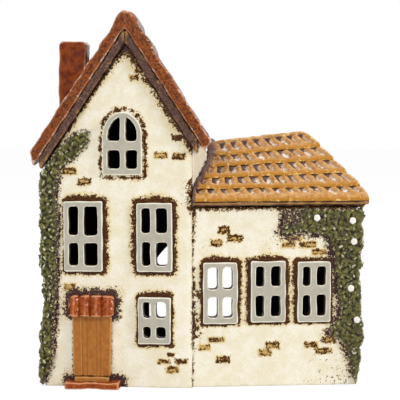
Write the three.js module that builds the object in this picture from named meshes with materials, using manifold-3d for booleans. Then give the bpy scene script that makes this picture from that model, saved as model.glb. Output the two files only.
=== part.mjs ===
// House tea light holder, hand built from clay slabs: a tall gabled tower on the left and a lower
// hipped wing on the right. Millimetres, +Z up, the front faces -Y.
import * as THREE from 'three';
import { mergeVertices } from 'three/addons/utils/BufferGeometryUtils.js';
import Module from 'manifold-3d';

const wasm = await Module();
wasm.setup();

// Slabs and joints
const luting = 0.3; // joint left between neighbouring pieces
const wallThickness = 5;
const floorThickness = 5;
const houseDepth = 81; // front corner to the outer face of the back wall
const backOverhang = 3;

// Tower
const towerTurn = 5; // degrees, the tower's front looks a little to the left
const towerWidth = 76.8;
const roofApex = { x: -33, z: 190.5 };
const roofPitchLeft = 56;
const roofPitchRight = 57;
const roofFrontOverhang = 4;
const roofSlab = 5;
const roofUnderlay = 3.5;
const underlaySetback = 1;
const leftEave = towerWidth + 4.3; // eaves, outwards from the tower's right corner
const rightEave = 9.3;
const leftUnderlayEave = towerWidth + 1.7;
const rightUnderlayEave = 3;
const eaveCut = 3.5; // how far the lower edge of the roof's end is drawn in
const roofCap = 10; // course over the ridge, along each slope
const roofCourse = { left: 13.2, right: 14.5 }; // the other courses, the last one cut short
const roofLip = 1.1;
const roofTileWidth = 7;
const sideSpread = 5.5; // the side wall above the wing bows out by this much, then runs straight back
const sideBend = 24;
const sideFoot = 84;
const cornerRound = { width: 4, depth: 2.2 }; // the front's right corner is pressed round

// Wing
const wingTurn = 5; // degrees, the wing's front looks a little to the right
const wingWidth = 84.8;
const wingSetback = 2.5;
const wingEaveHeight = 90;
const wingEaveOverhang = 4;
const wingSideOverhang = 5;
const wingUnderlay = 3.3;
const underlayDraw = 0.1; // share of the slope by which the underlays' lower edges are drawn in
const ridge = {
  depth: 36, left: 15.4, right: wingWidth - 23, height: 120.4, rise: 5.5, width: 2.5,
};
const ridgeStart = -2; // the slopes run on to here before they are cut at the tower
const eaveStart = -6;
const tileThickness = 1.6;
const tileLip = 1.3;
const tileDimple = 0.7;
const tileWidth = 6.8;
const tileCourses = 5;
const ridgeRoll = { width: 3.6, height: 1.3 };

// Rear arch, where the tea light goes in
const arch = { centre: -3, sill: 21, radius: 26, straight: 21.6 };

// Windows: at gives the foot's middle as shares of the front's width, from the corner between the
// fronts, and of its height. Outer size, upright and crossbar with their offset from the centre.
const frameRelief = 2;
const frameBorder = 2.5;
const frameCorner = 0.8;
const paneCorner = 1.3;
const paneFoot = 0.6; // extra border under the lower panes
const towerWindows = [
  { name: 'window_gable', at: [0.4531, 0.5659], width: 19.9, height: 31.7, upright: 3,
    uprightShift: 0.1, crossbar: 4.6, crossbarShift: -1.2, archRise: 12 },
  { name: 'window_upper_left', at: [0.7148, 0.3097], width: 19.8, height: 35.5, upright: 2.9,
    uprightShift: -1, crossbar: 3.9, crossbarShift: -1.3 },
  { name: 'window_upper_right', at: [0.2448, 0.3108], width: 18, height: 34.6, upright: 2.9,
    uprightShift: -0.6, crossbar: 4.4, crossbarShift: -0.1 },
  { name: 'window_lower_right', at: [0.2461, 0.1181], width: 16.6, height: 23.7, upright: 2.7,
    uprightShift: -0.5, crossbar: 4.6, crossbarShift: -0.7 },
];
const wingWindows = [
  { name: 'window_wing_left', at: [0.1698, 0.3611], width: 17.4, height: 31.1, upright: 2.5,
    uprightShift: 0, crossbar: 4.2, crossbarShift: 0 },
  { name: 'window_wing_middle', at: [0.4575, 0.3667], width: 17.7, height: 31, upright: 3.2,
    uprightShift: -0.4, crossbar: 4.6, crossbarShift: 0.5 },
  { name: 'window_wing_right', at: [0.7335, 0.3644], width: 16.8, height: 30.9, upright: 3.2,
    uprightShift: -0.3, crossbar: 4.6, crossbarShift: 0.9 },
];

// Door, canopy, sill and step
const door = { x: -0.66 * towerWidth, width: 20.1, height: 30.3, thickness: 1.8, groove: 0.5, grooveWidth: 1 };
const doorGrooves = [-5, -2.6, 2.3, 4.4]; // from the door's centre line
const canopy = { width: 22.9, height: 11.4, topDepth: 3, bottomDepth: 5.5, lobes: 4, lobe: 1.1 };
const sill = { width: 17.7, height: 1.6, depth: 3.5, round: 0.6 };
const step = {
  x: -0.651 * towerWidth, width: 27.7, height: 3.7, depth: 8, waist: 5.6, end: 4.5, round: 1.4,
};

// Chimney; the stack is its height over the slope it stands on
const chimney = { stack: 28.5, width: 14.3, flare: 0.7, depth: 12, front: 30, top: 176, round: 1.5 };

// Bricks pressed into the front walls: centre as shares of the front's width and height, then width
// and height
const brickRelief = 0.5;
const towerBricks = [
  [0.3411, 0.842, 4.6, 3], [0.3776, 0.821, 4, 2.5], [0.0977, 0.6635, 4.6, 2.4],
  [0.2018, 0.6178, 6.6, 2.6], [0.0846, 0.6147, 6, 3], [0.8073, 0.5759, 6.9, 3.3],
  [0.707, 0.5475, 6.6, 2.9], [0.8073, 0.2672, 5.4, 3.3], [0.138, 0.0892, 2.7, 1.2],
  [0.1875, 0.0709, 5.8, 1.8], [0.0716, 0.0714, 5.7, 1.6], [0.1276, 0.0493, 5.9, 2.9],
];
const wingBricks = [
  [0.1934, 0.8867, 5.1, 3.4], [0.2583, 0.8422, 6.9, 3.2], [0.1486, 0.8167, 5.6, 3],
  [0.6132, 0.8389, 7.2, 2.6], [0.5802, 0.8022, 6.6, 2.6], [0.6981, 0.8022, 8.4, 2.8],
  [0.7665, 0.7589, 7.4, 2.6], [0.1486, 0.2678, 8.1, 2.1], [0.0767, 0.2256, 5.6, 2.6],
  [0.1863, 0.1578, 6.3, 2.6], [0.4858, 0.2322, 6.8, 3], [0.4399, 0.1911, 6.4, 3],
  [0.7217, 0.2322, 6.4, 2.5], [0.8278, 0.2589, 6.4, 2.8], [0.796, 0.1967, 7.9, 2.4],
];

// Ivy sheets with overlapping leaves, and the flowers on the right one. Their points are shares of
// the front's width, in from its outer corner, and of its height.
const ivyThickness = 1.7;
const ivySideThickness = 1;
const ivyReturn = 13; // how far the ivy goes round the corner
const ivyReturnEdge = [[0.35, 0.02], [0.6, 0.2], [0.9, 0.4], [0.65, 0.6], [1, 0.85]];
const leaf = { radius: 3.2, rise: 0.9, sideRise: 0.5, sink: 0.4, pitch: 4.8, overlap: 1.6 };
const leftIvyOutline = [
  [0, 0.5853], [0.0625, 0.6037], [0.1341, 0.6352], [0.1992, 0.6614], [0.2643, 0.6745], [0.3294, 0.6824],
  [0.3099, 0.6457], [0.2513, 0.6194], [0.1732, 0.5984], [0.1211, 0.5774], [0.1146, 0.5459],
  [0.1016, 0.5144], [0.1146, 0.4777], [0.1211, 0.4409], [0.1146, 0.399], [0.1081, 0.357],
  [0.1146, 0.3045], [0.1016, 0.2625], [0.0951, 0.21], [0.082, 0.1417], [0.0755, 0.084],
  [0.0495, 0.0367], [0, 0.0052],
];
const rightIvyOutline = [
  [0, 0.9778], [0.4399, 0.9778], [0.4575, 0.9222], [0.4634, 0.8667], [0.4104, 0.8722], [0.3514, 0.8889],
  [0.2748, 0.8722], [0.1686, 0.85], [0.1533, 0.7778], [0.1415, 0.7], [0.1215, 0.6222], [0.1274, 0.5389],
  [0.1038, 0.4833], [0.1014, 0.4111], [0.1333, 0.3556], [0.1804, 0.3], [0.1156, 0.2667],
  [0.0684, 0.2167], [0.0389, 0.15], [0.0271, 0.0667], [0, 0.0167],
];
const flowerRadius = 1.7;
const flowerHeight = 1;
const flowers = [
  [0.2547, 0.9556], [0.0389, 0.9389], [0.0307, 0.8211], [0.0472, 0.5567], [0.0094, 0.3767],
];

const glaze = {
  wall: { color: 0xf0e8d2, roughness: 0.3 },
  frame: { color: 0xb9baa9, roughness: 0.3 },
  roof: { color: 0x87411e, roughness: 0.3 },
  dark: { color: 0x4a3439, roughness: 0.35 },
  tile: { color: 0xc88737, roughness: 0.25 },
  brick: { color: 0x7d320a, roughness: 0.3 },
  door: { color: 0xaf6e32, roughness: 0.3 },
  terracotta: { color: 0xa55032, roughness: 0.2 },
  ivy: { color: 0x4b5523, roughness: 0.25 },
  flower: { color: 0xf2efe4, roughness: 0.3 },
};

// Points given as shares of a front, in its own frame
const onTower = ([across, up]) => [-across * towerWidth, up * roofApex.z];
const onWing = ([across, up]) => [across * wingWidth, up * wingEaveHeight];
const fromLeftCorner = ([inward, up]) => [(inward - 1) * towerWidth, up * roofApex.z];
const fromRightCorner = ([inward, up]) => [(1 - inward) * wingWidth, up * wingEaveHeight];

const radians = THREE.MathUtils.degToRad;
const sin = (degrees) => Math.sin(radians(degrees));
const cos = (degrees) => Math.cos(radians(degrees));
const tan = (degrees) => Math.tan(radians(degrees));

const house = new THREE.Group();
const tower = new THREE.Group();
const wing = new THREE.Group();
tower.rotation.z = -radians(towerTurn);
wing.rotation.z = radians(wingTurn);
tower.updateMatrix();
wing.updateMatrix();
house.add(tower, wing);

// Solids: closed geometry to manifold and back

function toSolid(geometry) {
  const bare = new THREE.BufferGeometry().setAttribute('position', geometry.getAttribute('position'));
  if (geometry.index) bare.setIndex(geometry.index);
  const merged = mergeVertices(bare, 1e-4);
  const corners = merged.index.array;
  const kept = [];
  for (let i = 0; i < corners.length; i += 3) {
    const [a, b, c] = corners.subarray(i, i + 3);
    if (a !== b && b !== c && c !== a) kept.push(a, b, c);
  }
  return new wasm.Manifold(
    new wasm.Mesh({
      numProp: 3,
      vertProperties: new Float32Array(merged.getAttribute('position').array),
      triVerts: new Uint32Array(kept),
    }),
  );
}

function toGeometry(solid) {
  const mesh = solid.getMesh();
  const positions = new Float32Array(mesh.numVert * 3);
  for (let i = 0; i < mesh.numVert; i++) {
    positions.set(mesh.vertProperties.subarray(i * mesh.numProp, i * mesh.numProp + 3), i * 3);
  }
  const geometry = new THREE.BufferGeometry();
  geometry.setAttribute('position', new THREE.BufferAttribute(positions, 3));
  geometry.setIndex(new THREE.BufferAttribute(mesh.triVerts, 1));
  geometry.computeVertexNormals();
  return geometry;
}

// A piece of clay or glaze, as a named mesh in its group
function piece(group, name, shape, finish) {
  const geometry = shape.isBufferGeometry ? shape : toGeometry(shape);
  const material = new THREE.MeshStandardMaterial({ ...glaze[finish], metalness: 0, flatShading: true });
  const mesh = new THREE.Mesh(geometry, material);
  mesh.name = name;
  group.add(mesh);
  return mesh;
}

const outline = (points) => new THREE.Shape(points.map(([x, y]) => new THREE.Vector2(x, y)));

// An upright plate: the shape's x and y become x and z, and it runs back from y
function plate(shape, thickness, y = 0, curveSegments = 1) {
  const geometry = new THREE.ExtrudeGeometry(shape, {
    depth: thickness,
    bevelEnabled: false,
    curveSegments,
  });
  return geometry.rotateX(Math.PI / 2).translate(0, y + thickness, 0);
}

// A prism standing on a plan
function standing(plan, bottom, top, curveSegments = 2) {
  const geometry = new THREE.ExtrudeGeometry(plan, {
    depth: top - bottom,
    bevelEnabled: false,
    curveSegments,
  });
  return geometry.translate(0, 0, bottom);
}

const inHouse = (geometry, group) => geometry.clone().applyMatrix4(group.matrix);

function roundedRectangle(x0, z0, x1, z1, radius) {
  const shape = new THREE.Shape();
  shape.moveTo(x0 + radius, z0);
  shape.lineTo(x1 - radius, z0);
  shape.absarc(x1 - radius, z0 + radius, radius, -Math.PI / 2, 0);
  shape.lineTo(x1, z1 - radius);
  shape.absarc(x1 - radius, z1 - radius, radius, 0, Math.PI / 2);
  shape.lineTo(x0 + radius, z1);
  shape.absarc(x0 + radius, z1 - radius, radius, Math.PI / 2, Math.PI);
  shape.lineTo(x0, z0 + radius);
  shape.absarc(x0 + radius, z0 + radius, radius, Math.PI, Math.PI * 1.5);
  return shape;
}

// The tower's sides and roof run straight back, square to the house, from its turned front. Gives
// the point behind (x, from) where that line comes to a depth, all in the tower's group.
function behind(x, from, depth) {
  const y = (depth + (x + from * tan(towerTurn)) * sin(towerTurn)) * cos(towerTurn);
  return [x - (y - from) * tan(towerTurn), y];
}

// Leans geometry of the tower's group so that what ran back in the group runs straight back
function straightened(geometry, from) {
  const shear = new THREE.Matrix4().makeShear(0, 0, -tan(towerTurn), 0, 0, 0);
  return geometry.translate(0, -from, 0).applyMatrix4(shear).translate(0, from, 0);
}

// Depth, in the wing's group, of a plane that is square to the house
const wingDepth = (x, depth) => (depth - x * sin(wingTurn)) / cos(wingTurn);

// Height of the tower's roof at x on its front edge, the given distance in from its outer plane
function roofHeight(x, inset) {
  const pitch = x < roofApex.x ? roofPitchLeft : roofPitchRight;
  return roofApex.z - Math.abs(x - roofApex.x) * tan(pitch) - inset / cos(pitch);
}

// A slab whose upper face is pressed into courses of dimpled tiles. Its four upper and four lower
// corners run from the eave's start to its end, and back along the ridge. ends are the shares of the
// way up where the courses meet.
function tiledSlab({ top, bottom, tiles, lip, dimple, ends = [0, 1] }) {
  const corner = ([x, y, z]) => new THREE.Vector3(x, y, z);
  const [t00, t10, t11, t01] = top.map(corner);
  const [b00, b10, b11, b01] = bottom.map(corner);
  const blend = (p00, p10, p11, p01, u, v) =>
    p00.clone().lerp(p10, u).lerp(p01.clone().lerp(p11, u), v);
  const up = t01.clone().sub(b01).normalize();
  const facesUp = t10.clone().sub(t00).cross(t01.clone().sub(t00)).dot(up) > 0;

  const columns = 2 * tiles;
  const rows = [];
  for (let course = 0; course < ends.length - 1; course++) {
    const [low, high] = [ends[course], ends[course + 1]];
    for (const [t, rise, dip] of [[0, 1, 0], [0.7, 0.5, 1], [1, 0, 0]]) {
      rows.push({ v: low + t * (high - low), rise, dip });
    }
  }
  const points = [];
  for (const { v, rise, dip } of rows) {
    for (let j = 0; j <= columns; j++) {
      const height = lip * rise - (j % 2 ? dimple * dip : 0);
      points.push(blend(t00, t10, t11, t01, j / columns, v).addScaledVector(up, height));
    }
  }
  const at = (row, column) => row * (columns + 1) + column;
  const faces = [];
  const quad = (a, b, c, d) => faces.push(a, b, c, a, c, d);
  const last = rows.length - 1;
  for (let r = 0; r < last; r++) {
    for (let j = 0; j < columns; j++) quad(at(r, j), at(r, j + 1), at(r + 1, j + 1), at(r + 1, j));
  }
  const rim = [];
  for (let j = 0; j < columns; j++) rim.push([at(0, j), j / columns, 0]);
  for (let r = 0; r < last; r++) rim.push([at(r, columns), 1, rows[r].v]);
  for (let j = columns; j > 0; j--) rim.push([at(last, j), j / columns, 1]);
  for (let r = last; r > 0; r--) rim.push([at(r, 0), 0, rows[r].v]);
  const firstBelow = points.length;
  for (const [, u, v] of rim) points.push(blend(b00, b10, b11, b01, u, v));
  const middle = points.push(blend(b00, b10, b11, b01, 0.5, 0.5)) - 1;
  rim.forEach(([above], i) => {
    const next = (i + 1) % rim.length;
    quad(firstBelow + i, firstBelow + next, rim[next][0], above);
    faces.push(middle, firstBelow + next, firstBelow + i);
  });
  if (!facesUp) faces.reverse();

  const geometry = new THREE.BufferGeometry().setFromPoints(points);
  geometry.setIndex(faces);
  return toSolid(geometry);
}

// Tower walls, in the tower's group

const underRoof = roofSlab + luting + roofUnderlay + luting;
const roofFront = -roofFrontOverhang;
const wallInner = wallThickness + luting;
const leanAt = (x, y) => x - y * tan(towerTurn); // where a line straight back from the front is at y
const sideLine = sideSpread + (sideBend - roofFront) * tan(towerTurn) + luting;
const towerEnvelope = (left = -1.2 * towerWidth) => {
  const block = plate(
    outline([
      [left, 0],
      [sideLine, 0],
      [sideLine, roofHeight(sideLine, roofSlab + luting)],
      [rightUnderlayEave + luting, roofHeight(rightUnderlayEave + luting, roofSlab + luting)],
      [rightUnderlayEave + luting, roofHeight(rightUnderlayEave + luting, underRoof)],
      [roofApex.x, roofHeight(roofApex.x, underRoof)],
      [left, roofHeight(left, underRoof)],
    ]),
    2 * houseDepth,
    -houseDepth / 2,
  );
  return straightened(block, roofFront);
};

const backFace = houseDepth - wallThickness - luting;

// Plan of everything that belongs to the tower, grown by one joint
const towerPlan = outline([
  [-towerWidth / 2, -houseDepth / 4],
  [luting, -houseDepth / 4],
  [luting, wallInner],
  [sideSpread + luting, sideBend],
  behind(sideSpread + luting, sideBend, 1.5 * houseDepth),
  [-towerWidth / 2, 1.5 * houseDepth],
]);
const roofEnd = roofHeight(rightEave, 0);
const roofGuard = outline([
  [roofApex.x, roofHeight(roofApex.x, -roofLip - luting)],
  [rightEave + 1.5 * luting + roofLip, roofEnd + roofLip],
  [rightEave + 1.5 * luting, roofEnd - 2 * luting],
  [rightEave - eaveCut + luting, roofHeight(rightEave - eaveCut, roofSlab + luting) - luting],
  [rightUnderlayEave + luting, roofHeight(rightUnderlayEave, underRoof)],
  [roofApex.x, roofHeight(roofApex.x, underRoof)],
]);
const towerBlock = toSolid(inHouse(standing(towerPlan, -1, roofApex.z), tower)).add(
  toSolid(inHouse(straightened(plate(roofGuard, 2 * houseDepth, -houseDepth / 2), roofFront), tower)),
);

// Frames of the windows: an outer outline and four panes, cut through frame and wall alike
const archSegments = 5;

function windowOutline({ width, height, archRise = 0 }, inset) {
  const half = width / 2 - inset;
  const spring = height - archRise;
  if (!archRise) return roundedRectangle(-half, inset, half, height - inset, frameCorner);
  const shape = new THREE.Shape();
  shape.moveTo(-half, inset);
  shape.lineTo(half, inset);
  shape.lineTo(half, spring);
  shape.absellipse(0, spring, half, archRise - inset, 0, Math.PI);
  return shape;
}

function paneCutter(window, depth, y) {
  const { width, height, upright, uprightShift, crossbar, crossbarShift } = window;
  const half = width / 2 - frameBorder;
  const barZ = height / 2 + crossbarShift;
  const spans = [
    [-half, uprightShift - upright / 2],
    [uprightShift + upright / 2, half],
  ];
  const levels = [
    [frameBorder + paneFoot, barZ - crossbar / 2],
    [barZ + crossbar / 2, height - frameBorder],
  ];
  let cutter = null;
  for (const [x0, x1] of spans) {
    for (const [z0, z1] of levels) {
      const pane = toSolid(plate(roundedRectangle(x0, z0, x1, z1, paneCorner), depth, y));
      cutter = cutter ? cutter.add(pane) : pane;
    }
  }
  if (!window.archRise) return cutter;
  return cutter.intersect(toSolid(plate(windowOutline(window, frameBorder), depth, y, archSegments)));
}

const placed = (windows, place) =>
  windows.map((window) => {
    const [x, z] = place(window.at);
    return { ...window, x, z };
  });

function addWindow(group, face, window) {
  const frontY = -frameRelief - luting;
  const segments = window.archRise ? archSegments : 1;
  const frame = toSolid(plate(windowOutline(window, 0), frameRelief, frontY, segments));
  const cutter = paneCutter(window, 3 * frameRelief, 2 * frontY);
  const mesh = piece(group, window.name, frame.subtract(cutter), 'frame');
  mesh.position.set(window.x, face, window.z);
}

function cutPanes(wall, face, windows) {
  return windows.reduce((solid, window) => {
    const cutter = paneCutter(window, wallThickness * 3, -wallThickness);
    return solid.subtract(cutter.translate([window.x, face, window.z]));
  }, wall);
}

function addBricks(wall, face, bricks, place) {
  return bricks.reduce((solid, [across, up, width, height]) => {
    const [x, z] = place([across, up]);
    const [left, right, low, high] = [x - width / 2, x + width / 2, z - height / 2, z + height / 2];
    const worn = brickRelief; // the corners are worn off
    const brick = outline([
      [left + worn, low], [right - worn, low], [right, low + worn], [right, high - worn],
      [right - worn, high], [left + worn, high], [left, high - worn], [left, low + worn],
    ]);
    return solid.add(toSolid(plate(brick, 2 * brickRelief, face - brickRelief)));
  }, wall);
}

// Walls

const frontPlan = new THREE.Shape();
frontPlan.moveTo(-towerWidth, 0);
frontPlan.lineTo(-cornerRound.width, 0);
frontPlan.absellipse(
  -cornerRound.width, cornerRound.depth, cornerRound.width, cornerRound.depth, -Math.PI / 2, 0,
);
frontPlan.lineTo(0, wallThickness);
frontPlan.lineTo(leanAt(-towerWidth, wallThickness), wallThickness);
const towerFront = toSolid(standing(frontPlan, 0, roofApex.z, 4));
const towerPanes = placed(towerWindows, onTower);
piece(
  tower,
  'tower_front_wall',
  cutPanes(addBricks(towerFront, 0, towerBricks, onTower), 0, towerPanes)
    .intersect(toSolid(towerEnvelope())),
  'wall',
);
towerPanes.forEach((window) => addWindow(tower, 0, window));

const leftWallPlan = outline([
  [leanAt(-towerWidth, wallInner), wallInner],
  [leanAt(-towerWidth + wallThickness, wallInner), wallInner],
  behind(-towerWidth + wallThickness, 0, backFace),
  behind(-towerWidth, 0, backFace),
]);
piece(
  tower,
  'tower_left_wall',
  toSolid(standing(leftWallPlan, 0, roofApex.z)).intersect(toSolid(towerEnvelope())),
  'wall',
);

const sideWallPlan = outline([
  [-wallThickness, wallInner],
  [0, wallInner],
  [sideSpread, sideBend],
  behind(sideSpread, sideBend, backFace),
  behind(sideSpread - wallThickness, sideBend, backFace),
  [sideSpread - wallThickness, sideBend],
]);
piece(
  tower,
  'tower_side_wall',
  toSolid(standing(sideWallPlan, sideFoot, roofApex.z)).intersect(toSolid(towerEnvelope())),
  'wall',
);

const wingSpan = [[0, 0], [wingWidth, 0], [wingWidth, wingEaveHeight], [0, wingEaveHeight]];
const wingFront = toSolid(plate(outline(wingSpan), wallThickness, wingSetback)).subtract(
  towerBlock.transform(wing.matrix.clone().invert().elements),
);
const wingPanes = placed(wingWindows, onWing);
piece(
  wing,
  'wing_front_wall',
  cutPanes(addBricks(wingFront, wingSetback, wingBricks, onWing), wingSetback, wingPanes),
  'wall',
);
wingPanes.forEach((window) => addWindow(wing, wingSetback, window));

const wingInner = wingSetback + wallThickness + luting;
const rightWallPlan = outline([
  [wingWidth - wallThickness, wingInner],
  [wingWidth, wingInner],
  [wingWidth, wingDepth(wingWidth, backFace)],
  [wingWidth - wallThickness, wingDepth(wingWidth - wallThickness, backFace)],
]);
piece(wing, 'wing_right_wall', standing(rightWallPlan, 0, wingEaveHeight), 'wall');

const archOpening = new THREE.Shape();
archOpening.moveTo(arch.centre - arch.radius, arch.sill);
archOpening.lineTo(arch.centre + arch.radius, arch.sill);
archOpening.lineTo(arch.centre + arch.radius, arch.sill + arch.straight);
archOpening.absarc(arch.centre, arch.sill + arch.straight, arch.radius, 0, Math.PI);
const archGeometry = new THREE.ExtrudeGeometry(archOpening, {
  depth: 3 * wallThickness,
  bevelEnabled: false,
  curveSegments: 12,
});
archGeometry.rotateX(Math.PI / 2).translate(0, houseDepth + wallThickness, 0);

const wideBack = outline([
  [-2 * towerWidth, 0], [2 * wingWidth, 0], [2 * wingWidth, roofApex.z], [-2 * towerWidth, roofApex.z],
]);
const envelope = toSolid(inHouse(towerEnvelope(leanAt(-towerWidth, roofFront)), tower)).add(
  toSolid(inHouse(plate(outline(wingSpan), 2 * houseDepth, -houseDepth / 2), wing)),
);
piece(
  house,
  'back_wall',
  toSolid(plate(wideBack, wallThickness, houseDepth - wallThickness))
    .intersect(envelope)
    .subtract(toSolid(archGeometry)),
  'wall',
);

// Floor, laid inside the walls

const fromGroup = (group, x, y) => {
  const point = new THREE.Vector3(x, y, 0).applyMatrix4(group.matrix);
  return [point.x, point.y];
};
const leftInner = -towerWidth + wallThickness + luting;
const rightInner = wingWidth - wallThickness - luting;
const floorPlan = outline([
  fromGroup(tower, leanAt(leftInner, wallInner), wallInner),
  fromGroup(tower, -1, wallInner),
  fromGroup(wing, 0, wingInner),
  fromGroup(wing, rightInner, wingInner),
  fromGroup(wing, rightInner, wingDepth(rightInner, backFace)),
  fromGroup(tower, ...behind(leftInner, 0, backFace)),
]);
piece(house, 'floor', standing(floorPlan, 0, floorThickness), 'wall');

// Tower roof: a dark underlay and a tiled slab on each side

function roofSide(side) {
  const sign = side === 'left' ? -1 : 1;
  const eave = side === 'left' ? -leftEave : rightEave;
  const lowerEave = side === 'left' ? eave + eaveCut / 2 : eave - eaveCut;
  const top = roofApex.x + (sign * luting) / 2;
  const corners = (eaveX, inset, setback = 0) => {
    const front = (x) => [x - setback * tan(towerTurn), roofFront + setback, roofHeight(x, inset)];
    const back = (x) => [
      ...behind(x, roofFront, houseDepth + backOverhang - setback), roofHeight(x, inset),
    ];
    return [front(eaveX), back(eaveX), back(top), front(top)];
  };
  const depth = houseDepth + backOverhang + roofFrontOverhang;
  const slope = Math.abs(eave - roofApex.x) / cos(side === 'left' ? roofPitchLeft : roofPitchRight);
  const ends = [1];
  for (let down = roofCap; down < slope; down += roofCourse[side]) ends.unshift(1 - down / slope);
  ends.unshift(0);
  const tiled = tiledSlab({
    top: corners(eave, 0),
    bottom: corners(lowerEave, roofSlab),
    ends,
    tiles: Math.round(depth / roofTileWidth),
    lip: roofLip,
    dimple: roofLip / 2,
  });
  piece(tower, 'tower_roof_' + side, tiled, 'roof');

  const underEave = side === 'left' ? -leftUnderlayEave : rightUnderlayEave;
  const upper = roofSlab + luting;
  const underlay = tiledSlab({
    top: corners(underEave, upper, underlaySetback),
    bottom: corners(underEave, upper + roofUnderlay, underlaySetback),
    tiles: 1,
    lip: 0,
    dimple: 0,
  });
  piece(tower, 'tower_underlay_' + side, underlay, 'dark');
}
roofSide('left');
roofSide('right');

// Wing roof: three dark slopes, each covered by courses of tiles

const eaveTop = wingEaveHeight + luting + wingUnderlay;
const frontEave = wingSetback - wingEaveOverhang;
const rightEaveX = wingWidth + wingSideOverhang;
const backEave = houseDepth + backOverhang;
const ridgeSlope = ridge.rise / (ridge.right - ridge.left);
const ridgeHeight = (x) => ridge.height + (x - ridge.left) * ridgeSlope;
const inPlan = (x, y, z) => [...fromGroup(wing, x, y), z];
const frontRidge = ridge.depth - ridge.width / 2;
const backRidge = ridge.depth + ridge.width / 2;
const joint = luting / 2;
const slopes = {
  front: [
    inPlan(eaveStart, frontEave, eaveTop),
    inPlan(rightEaveX - 2 * joint, frontEave, eaveTop),
    inPlan(ridge.right - joint, frontRidge, ridgeHeight(ridge.right)),
    inPlan(ridgeStart, frontRidge, ridgeHeight(ridgeStart)),
  ],
  hip: [
    inPlan(rightEaveX, frontEave + 2 * joint, eaveTop),
    inPlan(rightEaveX, wingDepth(rightEaveX, backEave) - 2 * joint, eaveTop),
    inPlan(ridge.right + joint, backRidge, ridgeHeight(ridge.right)),
    inPlan(ridge.right + joint, frontRidge, ridgeHeight(ridge.right)),
  ],
  back: [
    inPlan(rightEaveX - 2 * joint, wingDepth(rightEaveX, backEave), eaveTop),
    inPlan(eaveStart, wingDepth(eaveStart, backEave), eaveTop),
    inPlan(ridgeStart, backRidge, ridgeHeight(ridgeStart)),
    inPlan(ridge.right - joint, backRidge, ridgeHeight(ridge.right)),
  ],
};
const lowered = (corners, drop) => corners.map(([x, y, z]) => [x, y, z - drop]);
const between = (a, b, t) => a.map((value, i) => value + (b[i] - value) * t);
const length = (a, b) => Math.hypot(...a.map((value, i) => b[i] - value));

function coverSlope(side, [eaveA, eaveB, ridgeB, ridgeA]) {
  const drawn = [[eaveA, ridgeA], [eaveB, ridgeB]].map(([eave, top]) => {
    const [x, y] = between(eave, top, underlayDraw);
    return [x, y, eave[2]];
  });
  const underlay = tiledSlab({
    top: [eaveA, eaveB, ridgeB, ridgeA],
    bottom: lowered([...drawn, ridgeB, ridgeA], wingUnderlay),
    tiles: 4,
    lip: 0,
    dimple: 0,
  });
  piece(house, 'wing_underlay_' + side, underlay.subtract(towerBlock), 'dark');
  const course = 1 / tileCourses;
  const gap = luting / 2 / length(eaveA, ridgeA);
  for (let c = 0; c < tileCourses; c++) {
    const low = c * course + (c ? gap : 0);
    const high = (c + 1) * course - gap;
    const strip = [
      between(eaveA, ridgeA, low), between(eaveB, ridgeB, low),
      between(eaveB, ridgeB, high), between(eaveA, ridgeA, high),
    ];
    const tiled = tiledSlab({
      top: lowered(strip, -luting - tileThickness),
      bottom: lowered(strip, -luting),
      tiles: Math.max(2, Math.round(length(strip[0], strip[1]) / tileWidth)),
      lip: tileLip,
      dimple: tileDimple,
    });
    piece(house, 'wing_tiles_' + side + '_' + (c + 1), tiled.subtract(towerBlock), 'tile');
  }
}
for (const side of Object.keys(slopes)) coverSlope(side, slopes[side]);

// Ridge roll between the front and back tiles
const rollBase = luting + tileThickness + luting;
const rollCorners = (x) => {
  const half = ridgeRoll.width / 2;
  const z = ridgeHeight(x) + rollBase;
  return [[x, ridge.depth - half, z], [x, ridge.depth + half, z]];
};
const rollEnd = ridge.right + ridgeRoll.width / 2;
const [rollA, rollD] = rollCorners(ridgeStart).map((p) => inPlan(...p));
const [rollB, rollC] = rollCorners(rollEnd).map((p) => inPlan(...p));
const roll = tiledSlab({
  top: lowered([rollA, rollB, rollC, rollD], -ridgeRoll.height),
  bottom: [rollA, rollB, rollC, rollD],
  tiles: 8,
  lip: 0,
  dimple: 0,
});
piece(house, 'wing_ridge_roll', roll.subtract(towerBlock), 'tile');

// Chimney, standing where the left slope is a stack's height below its top
const chimneySpot = roofApex.x - (roofApex.z - chimney.top + chimney.stack) / tan(roofPitchLeft);
const chimneyX = leanAt(chimneySpot, chimney.front + chimney.depth / 2 - roofFront);
const chimneyLeft = chimneyX - chimney.width / 2;
const chimneyRight = chimneyX + chimney.width / 2;
const stack = outline([
  [chimneyLeft + chimney.flare, roofHeight(chimneyLeft, underRoof)],
  [chimneyRight - chimney.flare, roofHeight(chimneyRight, underRoof)],
  [chimneyRight, chimney.top - chimney.round],
  [chimneyRight - chimney.round, chimney.top],
  [chimneyLeft + chimney.round, chimney.top],
  [chimneyLeft, chimney.top - chimney.round],
]);
const slopeGuard = outline([
  [-2 * towerWidth, -roofApex.z],
  [roofApex.x, -roofApex.z],
  [roofApex.x, roofHeight(roofApex.x, -roofLip - luting)],
  [-2 * towerWidth, roofHeight(-2 * towerWidth, -roofLip - luting)],
]);
const chimneyBlock = toSolid(plate(stack, chimney.depth, chimney.front)).subtract(
  toSolid(straightened(plate(slopeGuard, houseDepth, 0), roofFront)),
);
piece(tower, 'chimney', chimneyBlock, 'brick');

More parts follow.
